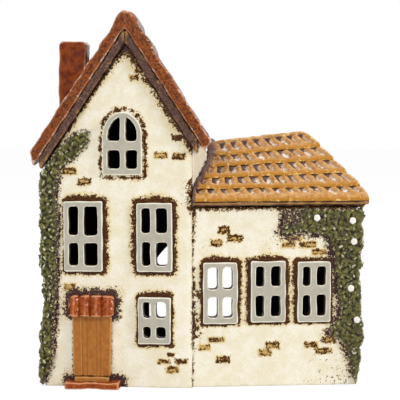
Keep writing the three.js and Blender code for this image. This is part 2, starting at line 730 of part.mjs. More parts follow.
// Step, sill, door and canopy, one above the other
const stepHalf = step.width / 2;
const stepFront = -step.depth - luting;
const bend = (stepHalf - step.end) / 2; // the step is pinched to its waist between two full ends
const stepPlan = new THREE.Shape();
stepPlan.moveTo(-stepHalf, -luting);
stepPlan.lineTo(-stepHalf, stepFront + step.round);
stepPlan.quadraticCurveTo(-stepHalf, stepFront, step.round - stepHalf, stepFront);
stepPlan.lineTo(step.end - stepHalf, stepFront);
stepPlan.bezierCurveTo(-bend, stepFront, -bend, -step.waist - luting, 0, -step.waist - luting);
stepPlan.bezierCurveTo(bend, -step.waist - luting, bend, stepFront, stepHalf - step.end, stepFront);
stepPlan.lineTo(stepHalf - step.round, stepFront);
stepPlan.quadraticCurveTo(stepHalf, stepFront, stepHalf, stepFront + step.round);
stepPlan.lineTo(stepHalf, -luting);
const stepBlock = standing(stepPlan, 0, step.height, 4).translate(step.x, 0, 0);
piece(tower, 'door_step', stepBlock, 'terracotta');
const sillFoot = step.height + luting;
const sillPlan = roundedRectangle(
  door.x - sill.width / 2, -sill.depth - luting, door.x + sill.width / 2, -luting, sill.round,
);
piece(tower, 'door_sill', standing(sillPlan, sillFoot, sillFoot + sill.height), 'door');

const doorFoot = sillFoot + sill.height + luting;
const doorFront = -door.thickness - luting;
const doorPoints = [[-door.width / 2, -luting], [-door.width / 2, doorFront]];
for (const x of doorGrooves) {
  doorPoints.push([x - door.grooveWidth / 2, doorFront], [x, doorFront + door.groove]);
  doorPoints.push([x + door.grooveWidth / 2, doorFront]);
}
doorPoints.push([door.width / 2, doorFront], [door.width / 2, -luting]);
const doorPlan = outline(doorPoints.map(([x, y]) => [x + door.x, y]));
piece(tower, 'door', standing(doorPlan, doorFoot, doorFoot + door.height), 'door');

// The canopy's front is pressed into round tiles, and leans out towards its lower edge
const canopyFoot = doorFoot + door.height + luting;
const lobeWidth = canopy.width / canopy.lobes;
const canopyPlan = new THREE.Shape();
canopyPlan.moveTo(-canopy.width / 2, 0);
for (let i = 0; i < canopy.lobes; i++) {
  const x0 = -canopy.width / 2 + i * lobeWidth;
  if (!i) canopyPlan.lineTo(x0, canopy.lobe - canopy.bottomDepth);
  canopyPlan.quadraticCurveTo(
    x0 + lobeWidth / 2, -canopy.bottomDepth - canopy.lobe, x0 + lobeWidth, canopy.lobe - canopy.bottomDepth,
  );
}
canopyPlan.lineTo(canopy.width / 2, 0);
const canopyGeometry = standing(canopyPlan, 0, canopy.height);
const canopyPoints = canopyGeometry.getAttribute('position');
const taper = 1 - canopy.topDepth / canopy.bottomDepth;
for (let i = 0; i < canopyPoints.count; i++) {
  const lean = 1 - (taper * canopyPoints.getZ(i)) / canopy.height;
  canopyPoints.setY(i, canopyPoints.getY(i) * lean);
}
canopyGeometry.translate(door.x, -luting, canopyFoot);
piece(tower, 'door_canopy', toSolid(canopyGeometry), 'terracotta');

// Ivy: a sheet on the front, a return round the corner, and leaves pressed over both

function insideOutline(points, x, z) {
  let inside = false;
  points.forEach(([x1, z1], i) => {
    const [x2, z2] = points[(i + 1) % points.length];
    if (z1 > z !== z2 > z && x < ((x2 - x1) * (z - z1)) / (z2 - z1) + x1) inside = !inside;
  });
  return inside;
}

// Places for leaves, in staggered rows over an outline
function leafSpots(points) {
  const xs = points.map(([x]) => x);
  const zs = points.map(([, z]) => z);
  const spots = [];
  const rows = Math.floor((Math.max(...zs) - Math.min(...zs)) / leaf.pitch);
  for (let row = 0; row < rows; row++) {
    const z = Math.min(...zs) + (row + 0.5) * leaf.pitch;
    const first = Math.min(...xs) + ((row % 2) + 1) * (leaf.pitch / 3);
    for (let x = first; x < Math.max(...xs); x += leaf.pitch) {
      const spotX = x + 0.2 * leaf.pitch * Math.sin(7 * row + x);
      const within = [-leaf.overlap, leaf.overlap].every(
        (reach) =>
          insideOutline(points, spotX + reach, z) && insideOutline(points, spotX, z + reach),
      );
      if (within) spots.push([spotX, z]);
    }
  }
  return spots;
}

// outward is -1 for a left corner and 1 for a right one
function ivy(points, face, edge, outward) {
  const front = face - luting;
  const outer = edge + outward * (luting + ivySideThickness);
  const wrapped = points.map(([x, z]) => [x === edge ? outer : x, z]);
  const heights = points.filter(([x]) => x === edge).map(([, z]) => z);
  const [low, high] = [Math.min(...heights), Math.max(...heights)];
  const returned = [
    [front - ivyThickness, low],
    ...ivyReturnEdge.map(([back, up]) => [front + back * ivyReturn, low + up * (high - low)]),
    [front + ivyReturn, high],
    [front - ivyThickness, high],
  ];
  const toSide = new THREE.Matrix4().makeBasis(
    new THREE.Vector3(0, 1, 0), new THREE.Vector3(0, 0, 1), new THREE.Vector3(1, 0, 0),
  );
  const side = new THREE.ExtrudeGeometry(outline(returned), {
    depth: ivySideThickness,
    bevelEnabled: false,
  });
  side.applyMatrix4(toSide).translate(Math.min(edge + outward * luting, outer), 0, 0);
  const cone = (rise) => new THREE.ConeGeometry(leaf.radius, rise + leaf.sink, 5);
  const raised = (rise) => (rise - leaf.sink) / 2;
  let solid = toSolid(plate(outline(wrapped), ivyThickness, front - ivyThickness)).add(toSolid(side));
  for (const [x, z] of leafSpots(wrapped)) {
    const shape = cone(leaf.rise).rotateY(x + z).rotateX(Math.PI);
    solid = solid.add(toSolid(shape.translate(x, front - ivyThickness - raised(leaf.rise), z)));
  }
  for (const [y, z] of leafSpots(returned)) {
    const shape = cone(leaf.sideRise).rotateY(y + z).rotateZ((-outward * Math.PI) / 2);
    solid = solid.add(toSolid(shape.translate(outer + outward * raised(leaf.sideRise), y, z)));
  }
  return solid;
}
const leftRoom = toSolid(towerEnvelope());
const rightRoom = toSolid(
  new THREE.BoxGeometry(2 * wingWidth, houseDepth, wingEaveHeight).translate(
    wingWidth, 0, wingEaveHeight / 2,
  ),
);
const leftIvy = ivy(leftIvyOutline.map(fromLeftCorner), 0, -towerWidth, -1);
const rightIvy = ivy(rightIvyOutline.map(fromRightCorner), wingSetback, wingWidth, 1);
const leftIvySolid = toSolid(straightened(toGeometry(leftIvy), 0)).intersect(leftRoom);
piece(tower, 'ivy_left', leftIvySolid, 'ivy');
piece(wing, 'ivy_right', rightIvy.intersect(rightRoom), 'ivy');

// Flowers sit on the right ivy's leaves as small domes
const flowerSeat = wingSetback - luting - ivyThickness - leaf.rise - luting;
flowers.map(fromRightCorner).forEach(([x, z], i) => {
  const dome = [new THREE.Vector2(0, 0)];
  for (let k = 0; k <= 3; k++) {
    const angle = (k * Math.PI) / 6;
    dome.push(new THREE.Vector2(flowerRadius * Math.cos(angle), flowerHeight * Math.sin(angle)));
  }
  dome[dome.length - 1].x = 0;
  const shape = new THREE.LatheGeometry(dome, 10).rotateX(Math.PI);
  const mesh = piece(wing, 'flower_' + (i + 1), toSolid(shape), 'flower');
  mesh.position.set(x, flowerSeat, z);
});

// The origin is the middle of the footprint's box
const reach = new THREE.Box3().setFromObject(house, true);
house.position.set(-(reach.min.x + reach.max.x) / 2, -(reach.min.y + reach.max.y) / 2, 0);
house.updateMatrixWorld(true);

export default house;
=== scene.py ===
from math import cos, pi, radians, sin, tan

import bmesh
import bpy
import numpy as np
from mathutils import Matrix, Vector, noise
from mathutils.bvhtree import BVHTree


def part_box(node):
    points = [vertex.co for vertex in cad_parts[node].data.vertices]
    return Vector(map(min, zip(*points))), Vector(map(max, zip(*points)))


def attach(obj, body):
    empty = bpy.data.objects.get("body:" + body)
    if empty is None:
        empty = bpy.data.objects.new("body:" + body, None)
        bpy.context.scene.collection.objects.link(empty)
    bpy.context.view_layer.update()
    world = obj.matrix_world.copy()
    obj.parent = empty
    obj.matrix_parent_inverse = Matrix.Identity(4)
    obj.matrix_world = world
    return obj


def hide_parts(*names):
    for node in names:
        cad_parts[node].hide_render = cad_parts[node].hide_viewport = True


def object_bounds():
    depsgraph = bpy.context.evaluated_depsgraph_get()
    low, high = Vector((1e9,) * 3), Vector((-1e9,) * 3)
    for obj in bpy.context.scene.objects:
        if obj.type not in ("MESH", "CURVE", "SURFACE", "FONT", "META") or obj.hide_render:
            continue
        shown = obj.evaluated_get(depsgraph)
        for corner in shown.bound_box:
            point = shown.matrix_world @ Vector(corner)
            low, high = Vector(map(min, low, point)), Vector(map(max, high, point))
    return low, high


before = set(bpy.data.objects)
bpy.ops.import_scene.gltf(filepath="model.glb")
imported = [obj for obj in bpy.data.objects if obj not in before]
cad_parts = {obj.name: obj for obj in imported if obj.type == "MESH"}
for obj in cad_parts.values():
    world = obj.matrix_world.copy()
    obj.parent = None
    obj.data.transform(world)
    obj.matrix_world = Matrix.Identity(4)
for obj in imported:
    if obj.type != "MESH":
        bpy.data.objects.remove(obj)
cad_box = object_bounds()

bl_info = {
    "name": "House Tea Light Holder",
    "version": (1, 0, 0),
    "blender": (4, 5, 0),
    "location": "3D View > Sidebar > Tea Light House",
    "description": "Glazed clay pieces and studio for a house tea light holder",
    "category": "Object",
}

MM = 0.001
ROOT = "root"

# The house's own sizes, in millimetres, as the clay was cut
CORNER = Vector((-4.2114, -39.502, 0))  # where the tower's front and the wing's front meet
TURN = 5  # degrees that each front turns away from that corner
TOWER_WIDTH = 76.8
WING_WIDTH = 84.8
HOUSE_DEPTH = 81
BACK_OVERHANG = 3
LUTING = 0.3
WALL = 5

APEX_X = -33
APEX_Z = 190.5
PITCH = {"left": 56, "right": 57}
ROOF_FRONT = -4
ROOF_SLAB = 5
ROOF_UNDERLAY = 3.5

WING_EAVE_Z = 93.6
WING_EAVE_FRONT = -1.5
WING_EAVE_RIGHT = 89.8
WING_EAVE_BACK = 84
RIDGE_START = -2
RIDGE_LEFT = 15.4
RIDGE_RIGHT = 61.8
RIDGE_Z = 120.4
RIDGE_RISE = 5.5
RIDGE_DEPTH = 36
RIDGE_WIDTH = 2.5
TILE_BASE = 0.3  # a course's underside over its slope, straight up
TILE_TOP = 1.9
TILE_LIP = 1.5
TILE_WIDTH = 6.8
TILE_SCOOP = 1.9
LIP_RADIUS = 1.0
EAVE_LIP_RADIUS = 1.9
JOINT_RISE = 1.6  # how high the tiles stand up at the joint with the tower
TOP_JOINT_RISE = 2.8
COURSES = 5
NOSE = 0.24  # share of a course's rows that make its lip's round edge
HIP_SWELL = 1.5
ROOF_COURSE = {"left": 13.2, "right": 14.5}
ROOF_CAP = 10
ROOF_TILES = 12  # in a course, from front to back
ROOF_SCOOP = 1.2
ROOF_LONGER = {"left": 0.9, "right": 1.8}  # how much longer each slab's low end is at the front
LINING_SHORTER = 3.2
GABLE_RISE = 12  # of the gable window's round head

EAVE_LIFT = 1.6  # how much higher the glaze of the wing's front reaches, where its lining is thinned
GABLE_DARK = 171  # above this the gable's wall is dark
ARCH_CENTRE = -3  # the rear arch, from the corner, and its sizes
ARCH_SILL = 21
ARCH_STRAIGHT = 21.6
ARCH_RADIUS = 26
ARCH_DRAWN = 4.5  # how far its left side is drawn in

PINCH_START = -74  # left of this, across the row, the tower is drawn in to this share
PINCH = 0.78
WARP_SIZE = 7.0  # waves that shift the clay along its front, and how far they shift it
WARP_REACH = 0.35
PLAIN_COARSER = 1.7  # grid of the walls without windows, as a multiple of the others'
SMOOTH_FACTOR = 0.5
FLOWERS = 5
FAR = 8.0  # distances from a CAD node are measured up to this

# Bricks that show through the plaster: centre x and z, width and height, in their front's own frame
TOWER_BRICKS = (
    (-26.2, 160.4, 4.6, 3), (-29, 156.4, 4, 2.5), (-7.5, 126.4, 4.6, 2.4), (-15.5, 117.7, 6.6, 2.6),
    (-6.5, 117.1, 6, 3), (-62, 109.7, 6.9, 3.3), (-54.3, 104.3, 6.6, 2.9), (-62, 50.9, 5.4, 3.3),
    (-10.6, 17, 2.7, 1.2), (-14.4, 13.5, 5.8, 1.8), (-5.5, 13.6, 5.7, 1.6), (-9.8, 9.4, 5.9, 2.9),
)
WING_BRICKS = (
    (16.4, 79.8, 5.1, 3.4), (21.9, 75.8, 6.9, 3.2), (12.6, 73.5, 5.6, 3), (52, 75.5, 7.2, 2.6),
    (49.2, 72.2, 6.6, 2.6), (59.2, 72.2, 8.4, 2.8), (65, 68.3, 7.4, 2.6), (12.6, 24.1, 8.1, 2.1),
    (6.5, 20.3, 5.6, 2.6), (15.8, 14.2, 6.3, 2.6), (41.2, 20.9, 6.8, 3), (37.3, 17.2, 6.4, 3),
    (61.2, 20.9, 6.4, 2.5), (70.2, 23.3, 6.4, 2.8), (67.5, 17.7, 7.9, 2.4),
)


class Front:
    """A front of the house with its own frame: x along it, y back from it, z up, in millimetres."""

    def __init__(self, turn):
        place = Matrix.Scale(MM, 4) @ Matrix.Translation(CORNER)
        self.matrix = place @ Matrix.Rotation(radians(turn), 4, "Z")
        self.inverse = np.array(self.matrix.inverted())

    def local(self, points):
        """Row frame points, in metres, in this front's frame."""
        return points @ self.inverse[:3, :3].T + self.inverse[:3, 3]


TOWER = Front(-TURN)
WING = Front(TURN)


def at_front(x, y, start):
    """The tower's x at its front for a point y further back, because its sides run straight back."""
    return x + (y - start) * tan(radians(TURN))


def roof_height(x, inset):
    """Height of the tower's roof at x of its front, that far in from its outer plane."""
    pitch = np.where(x < APEX_X, PITCH["left"], PITCH["right"])
    return APEX_Z - np.abs(x - APEX_X) * np.tan(np.radians(pitch)) - inset / np.cos(np.radians(pitch))


def ridge_height(x):
    """Height of the wing's ridge at x of its front."""
    x = np.clip(x, RIDGE_START, RIDGE_RIGHT)
    return RIDGE_Z + (x - RIDGE_LEFT) * RIDGE_RISE / (RIDGE_RIGHT - RIDGE_LEFT)


def smooth(value, low, high):
    """0 up to low and 1 from high, turning smoothly between them."""
    share = np.clip((value - low) / (high - low), 0, 1)
    return share * share * (3 - 2 * share)


def vertices(piece):
    """The piece's vertices, in metres, one row each."""
    found = np.empty(len(piece.data.vertices) * 3, dtype=np.float32)
    piece.data.vertices.foreach_get("co", found)
    return found.reshape(-1, 3).astype(float)


def normals(piece):
    """The piece's normals, one row each."""
    found = np.empty(len(piece.data.vertices) * 3, dtype=np.float32)
    piece.data.vertices.foreach_get("normal", found)
    return found.reshape(-1, 3).astype(float)


def move(piece, points):
    """Puts the piece's vertices at these points, in metres."""
    piece.data.vertices.foreach_set("co", points.astype(np.float32).ravel())
    piece.data.update()


def paint(piece, name, values):
    """Keeps one number for each vertex, for the glaze to read."""
    layer = piece.data.attributes.get(name) or piece.data.attributes.new(name, "FLOAT", "POINT")
    layer.data.foreach_set("value", values.astype(np.float32))


def new_piece(name, bm, matrix=None):
    """A piece from a bmesh in its front's frame."""
    if matrix is not None:
        bmesh.ops.transform(bm, matrix=matrix, verts=bm.verts)
    mesh = bpy.data.meshes.new(name)
    bm.to_mesh(mesh)
    bm.free()
    piece = bpy.data.objects.new(name, mesh)
    bpy.context.scene.collection.objects.link(piece)
    return piece


def copy_node(name, node):
    """A piece from a copy of a CAD node, with its loose triangles merged."""
    bm = bmesh.new()
    bm.from_mesh(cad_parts[node].data)
    bmesh.ops.remove_doubles(bm, verts=bm.verts, dist=MM / 1000)
    return new_piece(name, bm)


def soften(piece, voxel, rounds):
    """Remeshes and smooths a piece, so that its edges round off as under a glaze. Voxel in millimetres."""
    remesh = piece.modifiers.new("Remesh", "REMESH")
    remesh.mode = "VOXEL"
    remesh.voxel_size = voxel * MM
    smoothing = piece.modifiers.new("Smooth", "SMOOTH")
    smoothing.factor = SMOOTH_FACTOR
    smoothing.iterations = rounds
    shaped = piece.evaluated_get(bpy.context.evaluated_depsgraph_get())
    mesh = bpy.data.meshes.new_from_object(shaped)
    piece.modifiers.clear()
    old = piece.data
    piece.data = mesh
    bpy.data.meshes.remove(old)
    mesh.name = piece.name
    return piece


def soft_copy(name, node, voxel, rounds):
    """A soft copy of a CAD node."""
    return soften(copy_node(name, node), voxel, rounds)


def ripple(points, size, seed=0.0):
    """Soft noise at points in metres, whose waves are about size millimetres."""
    shift = Vector((seed * 17.3, seed * 5.1, seed * 9.7))
    return np.array([noise.noise(Vector(p) / (size * MM) + shift) for p in points])


def pinch(piece):
    """Draws the tower's left edge in, where the clay was pinched."""
    points = vertices(piece)
    beyond = (PINCH_START * MM - points[:, 0]).clip(0)
    points[:, 0] += beyond * (1 - PINCH)
    move(piece, points)


def wobble(piece, size, height):
    """Moves the surface in and out a little, as hand-pressed clay is. Sizes in millimetres."""
    points = vertices(piece)
    move(piece, points + normals(piece) * (ripple(points, size) * height * MM)[:, None])


def warp(piece):
    """Shifts the clay along its front by soft noise, the same for pieces that touch."""
    points = vertices(piece)
    flat = points * (1, 0, 1)
    points[:, 0] += ripple(flat, WARP_SIZE, 8) * WARP_REACH * MM
    lift = ripple(flat, WARP_SIZE, 9) * WARP_REACH * MM
    points[:, 2] += lift * smooth(points[:, 2] / MM, 0, 12)
    move(piece, points)


def swell(piece, height):
    """Grows a piece outwards, so that the glaze closes the joint beside it. Height in millimetres."""
    move(piece, vertices(piece) + normals(piece) * height * MM)


def curvature(piece):
    """How sharply the surface bends at each vertex, per millimetre, below 0 in a hollow."""
    ends = np.empty(len(piece.data.edges) * 2, dtype=np.int32)
    piece.data.edges.foreach_get("vertices", ends)
    first, second = ends.reshape(-1, 2).T
    points, out = vertices(piece), normals(piece)
    size = len(points)
    count = np.maximum(np.bincount(ends, minlength=size), 1)

    def around(of_first, of_second):
        return (np.bincount(first, of_second, size) + np.bincount(second, of_first, size)) / count

    along = points[second] - points[first]
    turn = ((out[second] - out[first]) * along).sum(axis=1) / ((along**2).sum(axis=1) + 1e-12)
    bend = around(turn, turn) * 2 * MM
    for _ in range(2):
        bend = around(bend[first], bend[second])
    return bend


def dress(piece, nodes, material):
    """Finishes a piece: its glaze, its smooth shading and the body it rides on, and hides the nodes it stands
    for.
    """
    move(piece, vertices(piece).clip(*(tuple(corner) for corner in cad_box)))
    piece.data.materials.clear()
    piece.data.materials.append(material)
    piece.data.polygons.foreach_set("use_smooth", [True] * len(piece.data.polygons))
    piece.data.update()
    paint(piece, "bend", curvature(piece))
    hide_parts(*nodes)
    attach(piece, ROOT)
    return piece


def box_distance(x, z, x0, z0, x1, z1):
    """Distance from a rectangle, below zero inside it."""
    dx = np.maximum(x0 - x, x - x1)
    dz = np.maximum(z0 - z, z - z1)
    outside = np.hypot(np.maximum(dx, 0), np.maximum(dz, 0))
    return outside + np.minimum(np.maximum(dx, dz), 0)


def node_distance(points, node):
    """Distance of each point from a CAD node's surface, in millimetres and up to FAR."""
    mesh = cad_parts[node].data
    mesh.calc_loop_triangles()
    tree = BVHTree.FromPolygons(
        [v.co for v in mesh.vertices], [t.vertices for t in mesh.loop_triangles]
    )
    low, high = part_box(node)
    reach = FAR * MM
    near = np.all((points > np.array(low) - reach) & (points < np.array(high) + reach), axis=1)
    found = np.full(len(points), FAR)
    for i in np.flatnonzero(near):
        hit = tree.find_nearest(Vector(points[i]), reach)
        if hit[0] is not None:
            found[i] = hit[3] / MM
    return found


def linear(colour):
    """A scene colour from one written as it looks on a screen."""
    return tuple(c / 12.92 if c <= 0.04045 else ((c + 0.055) / 1.055) ** 2.4 for c in colour) + (1.0,)


class Wire:
    """A node's output. Arithmetic on it adds Math nodes."""

    def __init__(self, tree, socket):
        self.tree = tree
        self.socket = socket

    def math(self, operation, first, second):
        """Adds a Math node."""
        return self.tree.node("ShaderNodeMath", {"operation": operation}, {0: first, 1: second})

    def __add__(self, other):
        return self.math("ADD", self, other)

    def __sub__(self, other):
        return self.math("SUBTRACT", self, other)

    def __rsub__(self, other):
        return self.math("SUBTRACT", other, self)

    def __mul__(self, other):
        return self.math("MULTIPLY", self, other)

    __radd__ = __add__
    __rmul__ = __mul__

    def over(self, other):
        """The larger of the two."""
        return self.math("MAXIMUM", self, other)

    def under(self, other):
        """The smaller of the two."""
        return self.math("MINIMUM", self, other)

    def band(self, low, high):
        """0 up to low and 1 from high, turning smoothly between them."""
        settings = {"interpolation_type": "SMOOTHSTEP"}
        sockets = {"Value": self, "From Min": low, "From Max": high}
        return self.tree.node("ShaderNodeMapRange", settings, sockets)


class Nodes:
    """A node tree, built one node at a time."""

    def __init__(self, tree):
        self.tree = tree
        self.tree.nodes.clear()

    def node(self, kind, settings=None, sockets=None, output=0):
        """Adds a node, sets it, then fills or links its sockets, and gives one output."""
        made = self.tree.nodes.new(kind)
        for key, value in (settings or {}).items():
            setattr(made, key, value)
        for key, value in (sockets or {}).items():
            socket = made.inputs[key]
            if isinstance(value, Wire):
                self.tree.links.new(value.socket, socket)
            else:
                socket.default_value = value
        return Wire(self, made.outputs[output]) if made.outputs else None


class Glaze(Nodes):
    """A material."""

    def __init__(self, name):
        self.material = bpy.data.materials.new(name)
        self.material.use_nodes = True
        super().__init__(self.material.node_tree)
        self.place = self.node("ShaderNodeTexCoord", output="Object")

    def noise(self, grain, detail=2.0, roughness=0.5, distortion=0.0):
        """Noise whose spots are about grain millimetres."""
        sockets = {"Vector": self.place, "Scale": 1 / (grain * MM), "Detail": detail,
                   "Roughness": roughness, "Distortion": distortion}
        return self.node("ShaderNodeTexNoise", {}, sockets, "Fac")

    def mask(self, name):
        """A number that was painted on the piece."""
        return self.node("ShaderNodeAttribute", {"attribute_name": name}, {}, "Fac")

    def mix(self, share, first, second):
        """One colour turning into another. Each is a wire, or a colour as it looks on a screen."""
        first, second = (c if isinstance(c, Wire) else linear(c) for c in (first, second))
        settings = {"data_type": "RGBA", "clamp_factor": True}
        return self.node("ShaderNodeMix", settings, {0: share, 6: first, 7: second}, 2)

    def finish(self, colour, roughness, height, depth, shine):
        """Joins it all in one glossy shader. depth is the relief's size in millimetres."""
        bump = self.node("ShaderNodeBump", {}, {"Height": height, "Distance": depth * MM, "Strength": 1.0})
        sockets = {"Base Color": colour, "Roughness": roughness, "Specular IOR Level": shine, "Normal": bump}
        shader = self.node("ShaderNodeBsdfPrincipled", {}, sockets)
        self.node("ShaderNodeOutputMaterial", {}, {"Surface": shader})
        return self.material


def wall_glaze(c):
    """Cream glaze that breaks to yellow, brown and purple where darker glaze has run."""
    g = Glaze("wall_glaze")
    speck = ((g.noise(0.7, 2.0, 0.6) * 0.55 + g.noise(1.7, 2.0) * 0.45) - 0.5) * 5.0
    cream = g.mix(g.noise(7.0, 4.0, 0.6).band(0.35, 0.65), c.cream, c.cream_shade)
    cream = g.mix(g.noise(0.8, 4.0, 0.7).band(0.45, 0.7) * 0.4, cream, c.crackle)
    yellow = (g.mask("halo") + speck * 0.5).band(0.15, 0.85) * 0.8
    body = g.mix(yellow, cream, c.halo)
    body = g.mix((g.mask("halo") + speck * 0.5).band(1.1, 1.6) * 0.8, body, c.ochre)
    mottle = g.noise(1.0, 3.0).band(0.5, 0.7) * 0.45
    for stain, thin, thick in (("brown", c.brown_light, c.brown), ("purple", c.purple_light, c.purple)):
        amount = g.mask(stain) + speck
        body = g.mix(amount.band(0.28, 0.36) * 0.85, body, thin)
        body = g.mix(amount.band(0.42, 0.52), body, g.mix(mottle, thick, thin))
    dark = (g.mask("brown").over(g.mask("purple")) + speck).band(0.35, 0.6)
    # Inside of the house: raw clay, darkened near black as painted shade.
    inside = g.mask("inside")
    body = g.mix(inside, body, c.raw_clay)
    relief = g.noise(1.2, 3.0) * 0.25 + g.noise(5.0, 2.0) * 0.6 - dark * 0.5
    return g.finish(body, 0.2 + inside * 0.5, relief, 0.22, 0.2)


def window_glaze(c):
    """Grey glaze that thins to cream on the edges."""
    g = Glaze("window_glaze")
    grey = g.mix(g.noise(3.0, 3.0).band(0.3, 0.7), c.window, c.window_shade)
    rim = ((g.mask("rim").over(g.mask("bend") * 0.45)) + (g.noise(0.7) - 0.5) * 0.7).band(0.3, 0.85)
    colour = g.mix(rim * 0.95, grey, c.window_rim)
    return g.finish(colour, 0.22, g.noise(2.0, 2.0), 0.12, 0.25)


def tile_glaze(c):
    """Golden glaze: light on the ridges where it thins and with painted highlights, grey in the scoops with
    painted glints, and dark where it pools and as painted shade under the lips.
    """
    g = Glaze("tile_glaze")
    fine = g.noise(0.6, 3.0, 0.6)
    grit = (fine - 0.5) * 1.2
    gold = g.mix(g.noise(2.5, 3.0).band(0.35, 0.65), c.tile, c.tile_shade)
    gold = g.mix((g.mask("lip") + grit).band(0.35, 0.9) * 0.85, gold, c.tile_lip)
    # Pale flecks on the tiles' convex edges and lips: glaze that thins there, and painted highlights.
    glint_spots = (g.noise(1.8, 3.0, 0.6, distortion=0.6) - 0.5) * 3.0
    thin_edge_highlight = g.mask("bend").under(0.9) * 0.6 + glint_spots + grit
    gold = g.mix(thin_edge_highlight.band(0.6, 0.85) * 0.9, gold, c.tile_edge)
    grey = g.mix((g.mask("scoop") + grit * 0.7).band(0.25, 0.9) * 0.6, gold, c.tile_grey)
    # Darkest where glaze pools in the hollows, and painted shade at each scoop's upper left and under each
    # lip.
    pool_and_shade = (g.mask("hollow").over(g.mask("bend") * -0.8) + grit).band(0.4, 0.95)
    colour = g.mix(pool_and_shade, grey, c.tile_deep)
    # Painted glints: near-white spots in the scoops.
    glint = (g.mask("scoop") - g.mask("hollow") * 0.5 + glint_spots + grit).band(1.1, 1.35)
    colour = g.mix(glint * 0.85, colour, c.tile_glint)
    colour = g.mix((g.mask("purple") + grit).band(0.35, 0.65), colour, c.dark_light)
    return g.finish(colour, 0.14 + fine * 0.12, fine * 0.6 + g.noise(2.2, 2.0), 0.35, 0.35)


def roof_glaze(c):
    """Red-brown glaze, mottled, lighter along the edges where it thins and with painted highlights there, and
    dark in the scoops where it pools and as painted shade.
    """
    g = Glaze("roof_glaze")
    fine = g.noise(0.55, 4.0, 0.7)
    grit = (fine - 0.5) * 1.2
    streak = g.noise(1.5, 3.0, 0.65, distortion=0.8)
    red = g.mix(fine.band(0.42, 0.6), c.roof, c.roof_light)
    red = g.mix(streak.band(0.44, 0.6) * 0.75, red, c.roof_dark)
    # Lighter on the sharp edges: glaze thins there, and painted highlights.
    red = g.mix((g.mask("bend") + grit * 0.5).band(0.5, 0.8) * 0.65, red, c.roof_edge)
    # Painted highlights: pale dashes along the roof's sharpest edges.
    shine = (g.mask("bend") + (streak - 0.5) * 3.0).band(0.95, 1.1) * 0.75
    red = g.mix(shine, red, c.roof_pale)
    # Dark where glaze pools in the scoops, with painted shade at their tops; darker all over on the left
    # slope.
    pool_and_shade = (g.mask("hollow").over(g.mask("bend") * -0.8) + grit).band(0.35, 0.8)
    return g.finish(g.mix(pool_and_shade, red, c.dark), 0.16, fine * 0.6 + streak, 0.35, 0.22)


def plain_glaze(name, thin, thick, edge, pool, grain, roughness=0.18):
    """A glaze of two close colours, with one more where it breaks on edges, which for the chimney, door and
    canopy is also painted highlight, and one where it pools.
    """
    g = Glaze(name)
    fine = g.noise(grain, 3.0, 0.6)
    grit = (fine - 0.5) * 1.2
    colour = g.mix(fine.band(0.35, 0.65), thin, thick)
    # Edge colour on convex bends: thin glaze, and for the chimney, door and canopy painted highlights too.
    colour = g.mix((g.mask("bend") + grit).band(0.45, 1.1) * 0.75, colour, edge)
    colour = g.mix((g.mask("bend") * -1.0 + grit).band(0.3, 0.9) * 0.8, colour, pool)
    return g.finish(colour, roughness, fine * 0.4 + g.noise(grain * 4, 2.0), 0.2, 0.22)


def ivy_glaze(c):
    """Green glaze, pale on the leaves' edges where it is thin and as painted highlights, and brown in
    between.
    """
    g = Glaze("ivy_glaze")
    fine = g.noise(0.6, 3.0, 0.65)
    grit = (fine - 0.5) * 1.6
    green = g.mix(g.noise(3.2, 3.0, 0.6).band(0.35, 0.65), c.ivy, c.ivy_light)
    green = g.mix(g.noise(1.3, 2.0).band(0.58, 0.7), green, c.ivy_brown)
    green = g.mix((g.mask("bend") * -1.0 + grit).band(0.05, 0.6), green, c.ivy_dark)
    # Pale flecks on the leaves' edges: thin glaze and painted highlights.
    green = g.mix((g.mask("bend") + grit * 1.5).band(1.0, 1.35) * 0.85, green, c.ivy_pale)
    spots = (g.noise(0.9, 3.0, 0.6) - 0.5) * 4.0
    green = g.mix((g.mask("purple") + spots).band(0.45, 0.65), green, c.purple)
    flecks = (g.mask("purple") * 0.5 - spots).band(0.7, 0.9)
    return g.finish(g.mix(flecks, green, c.halo), 0.1, fine, 0.45, 0.35)


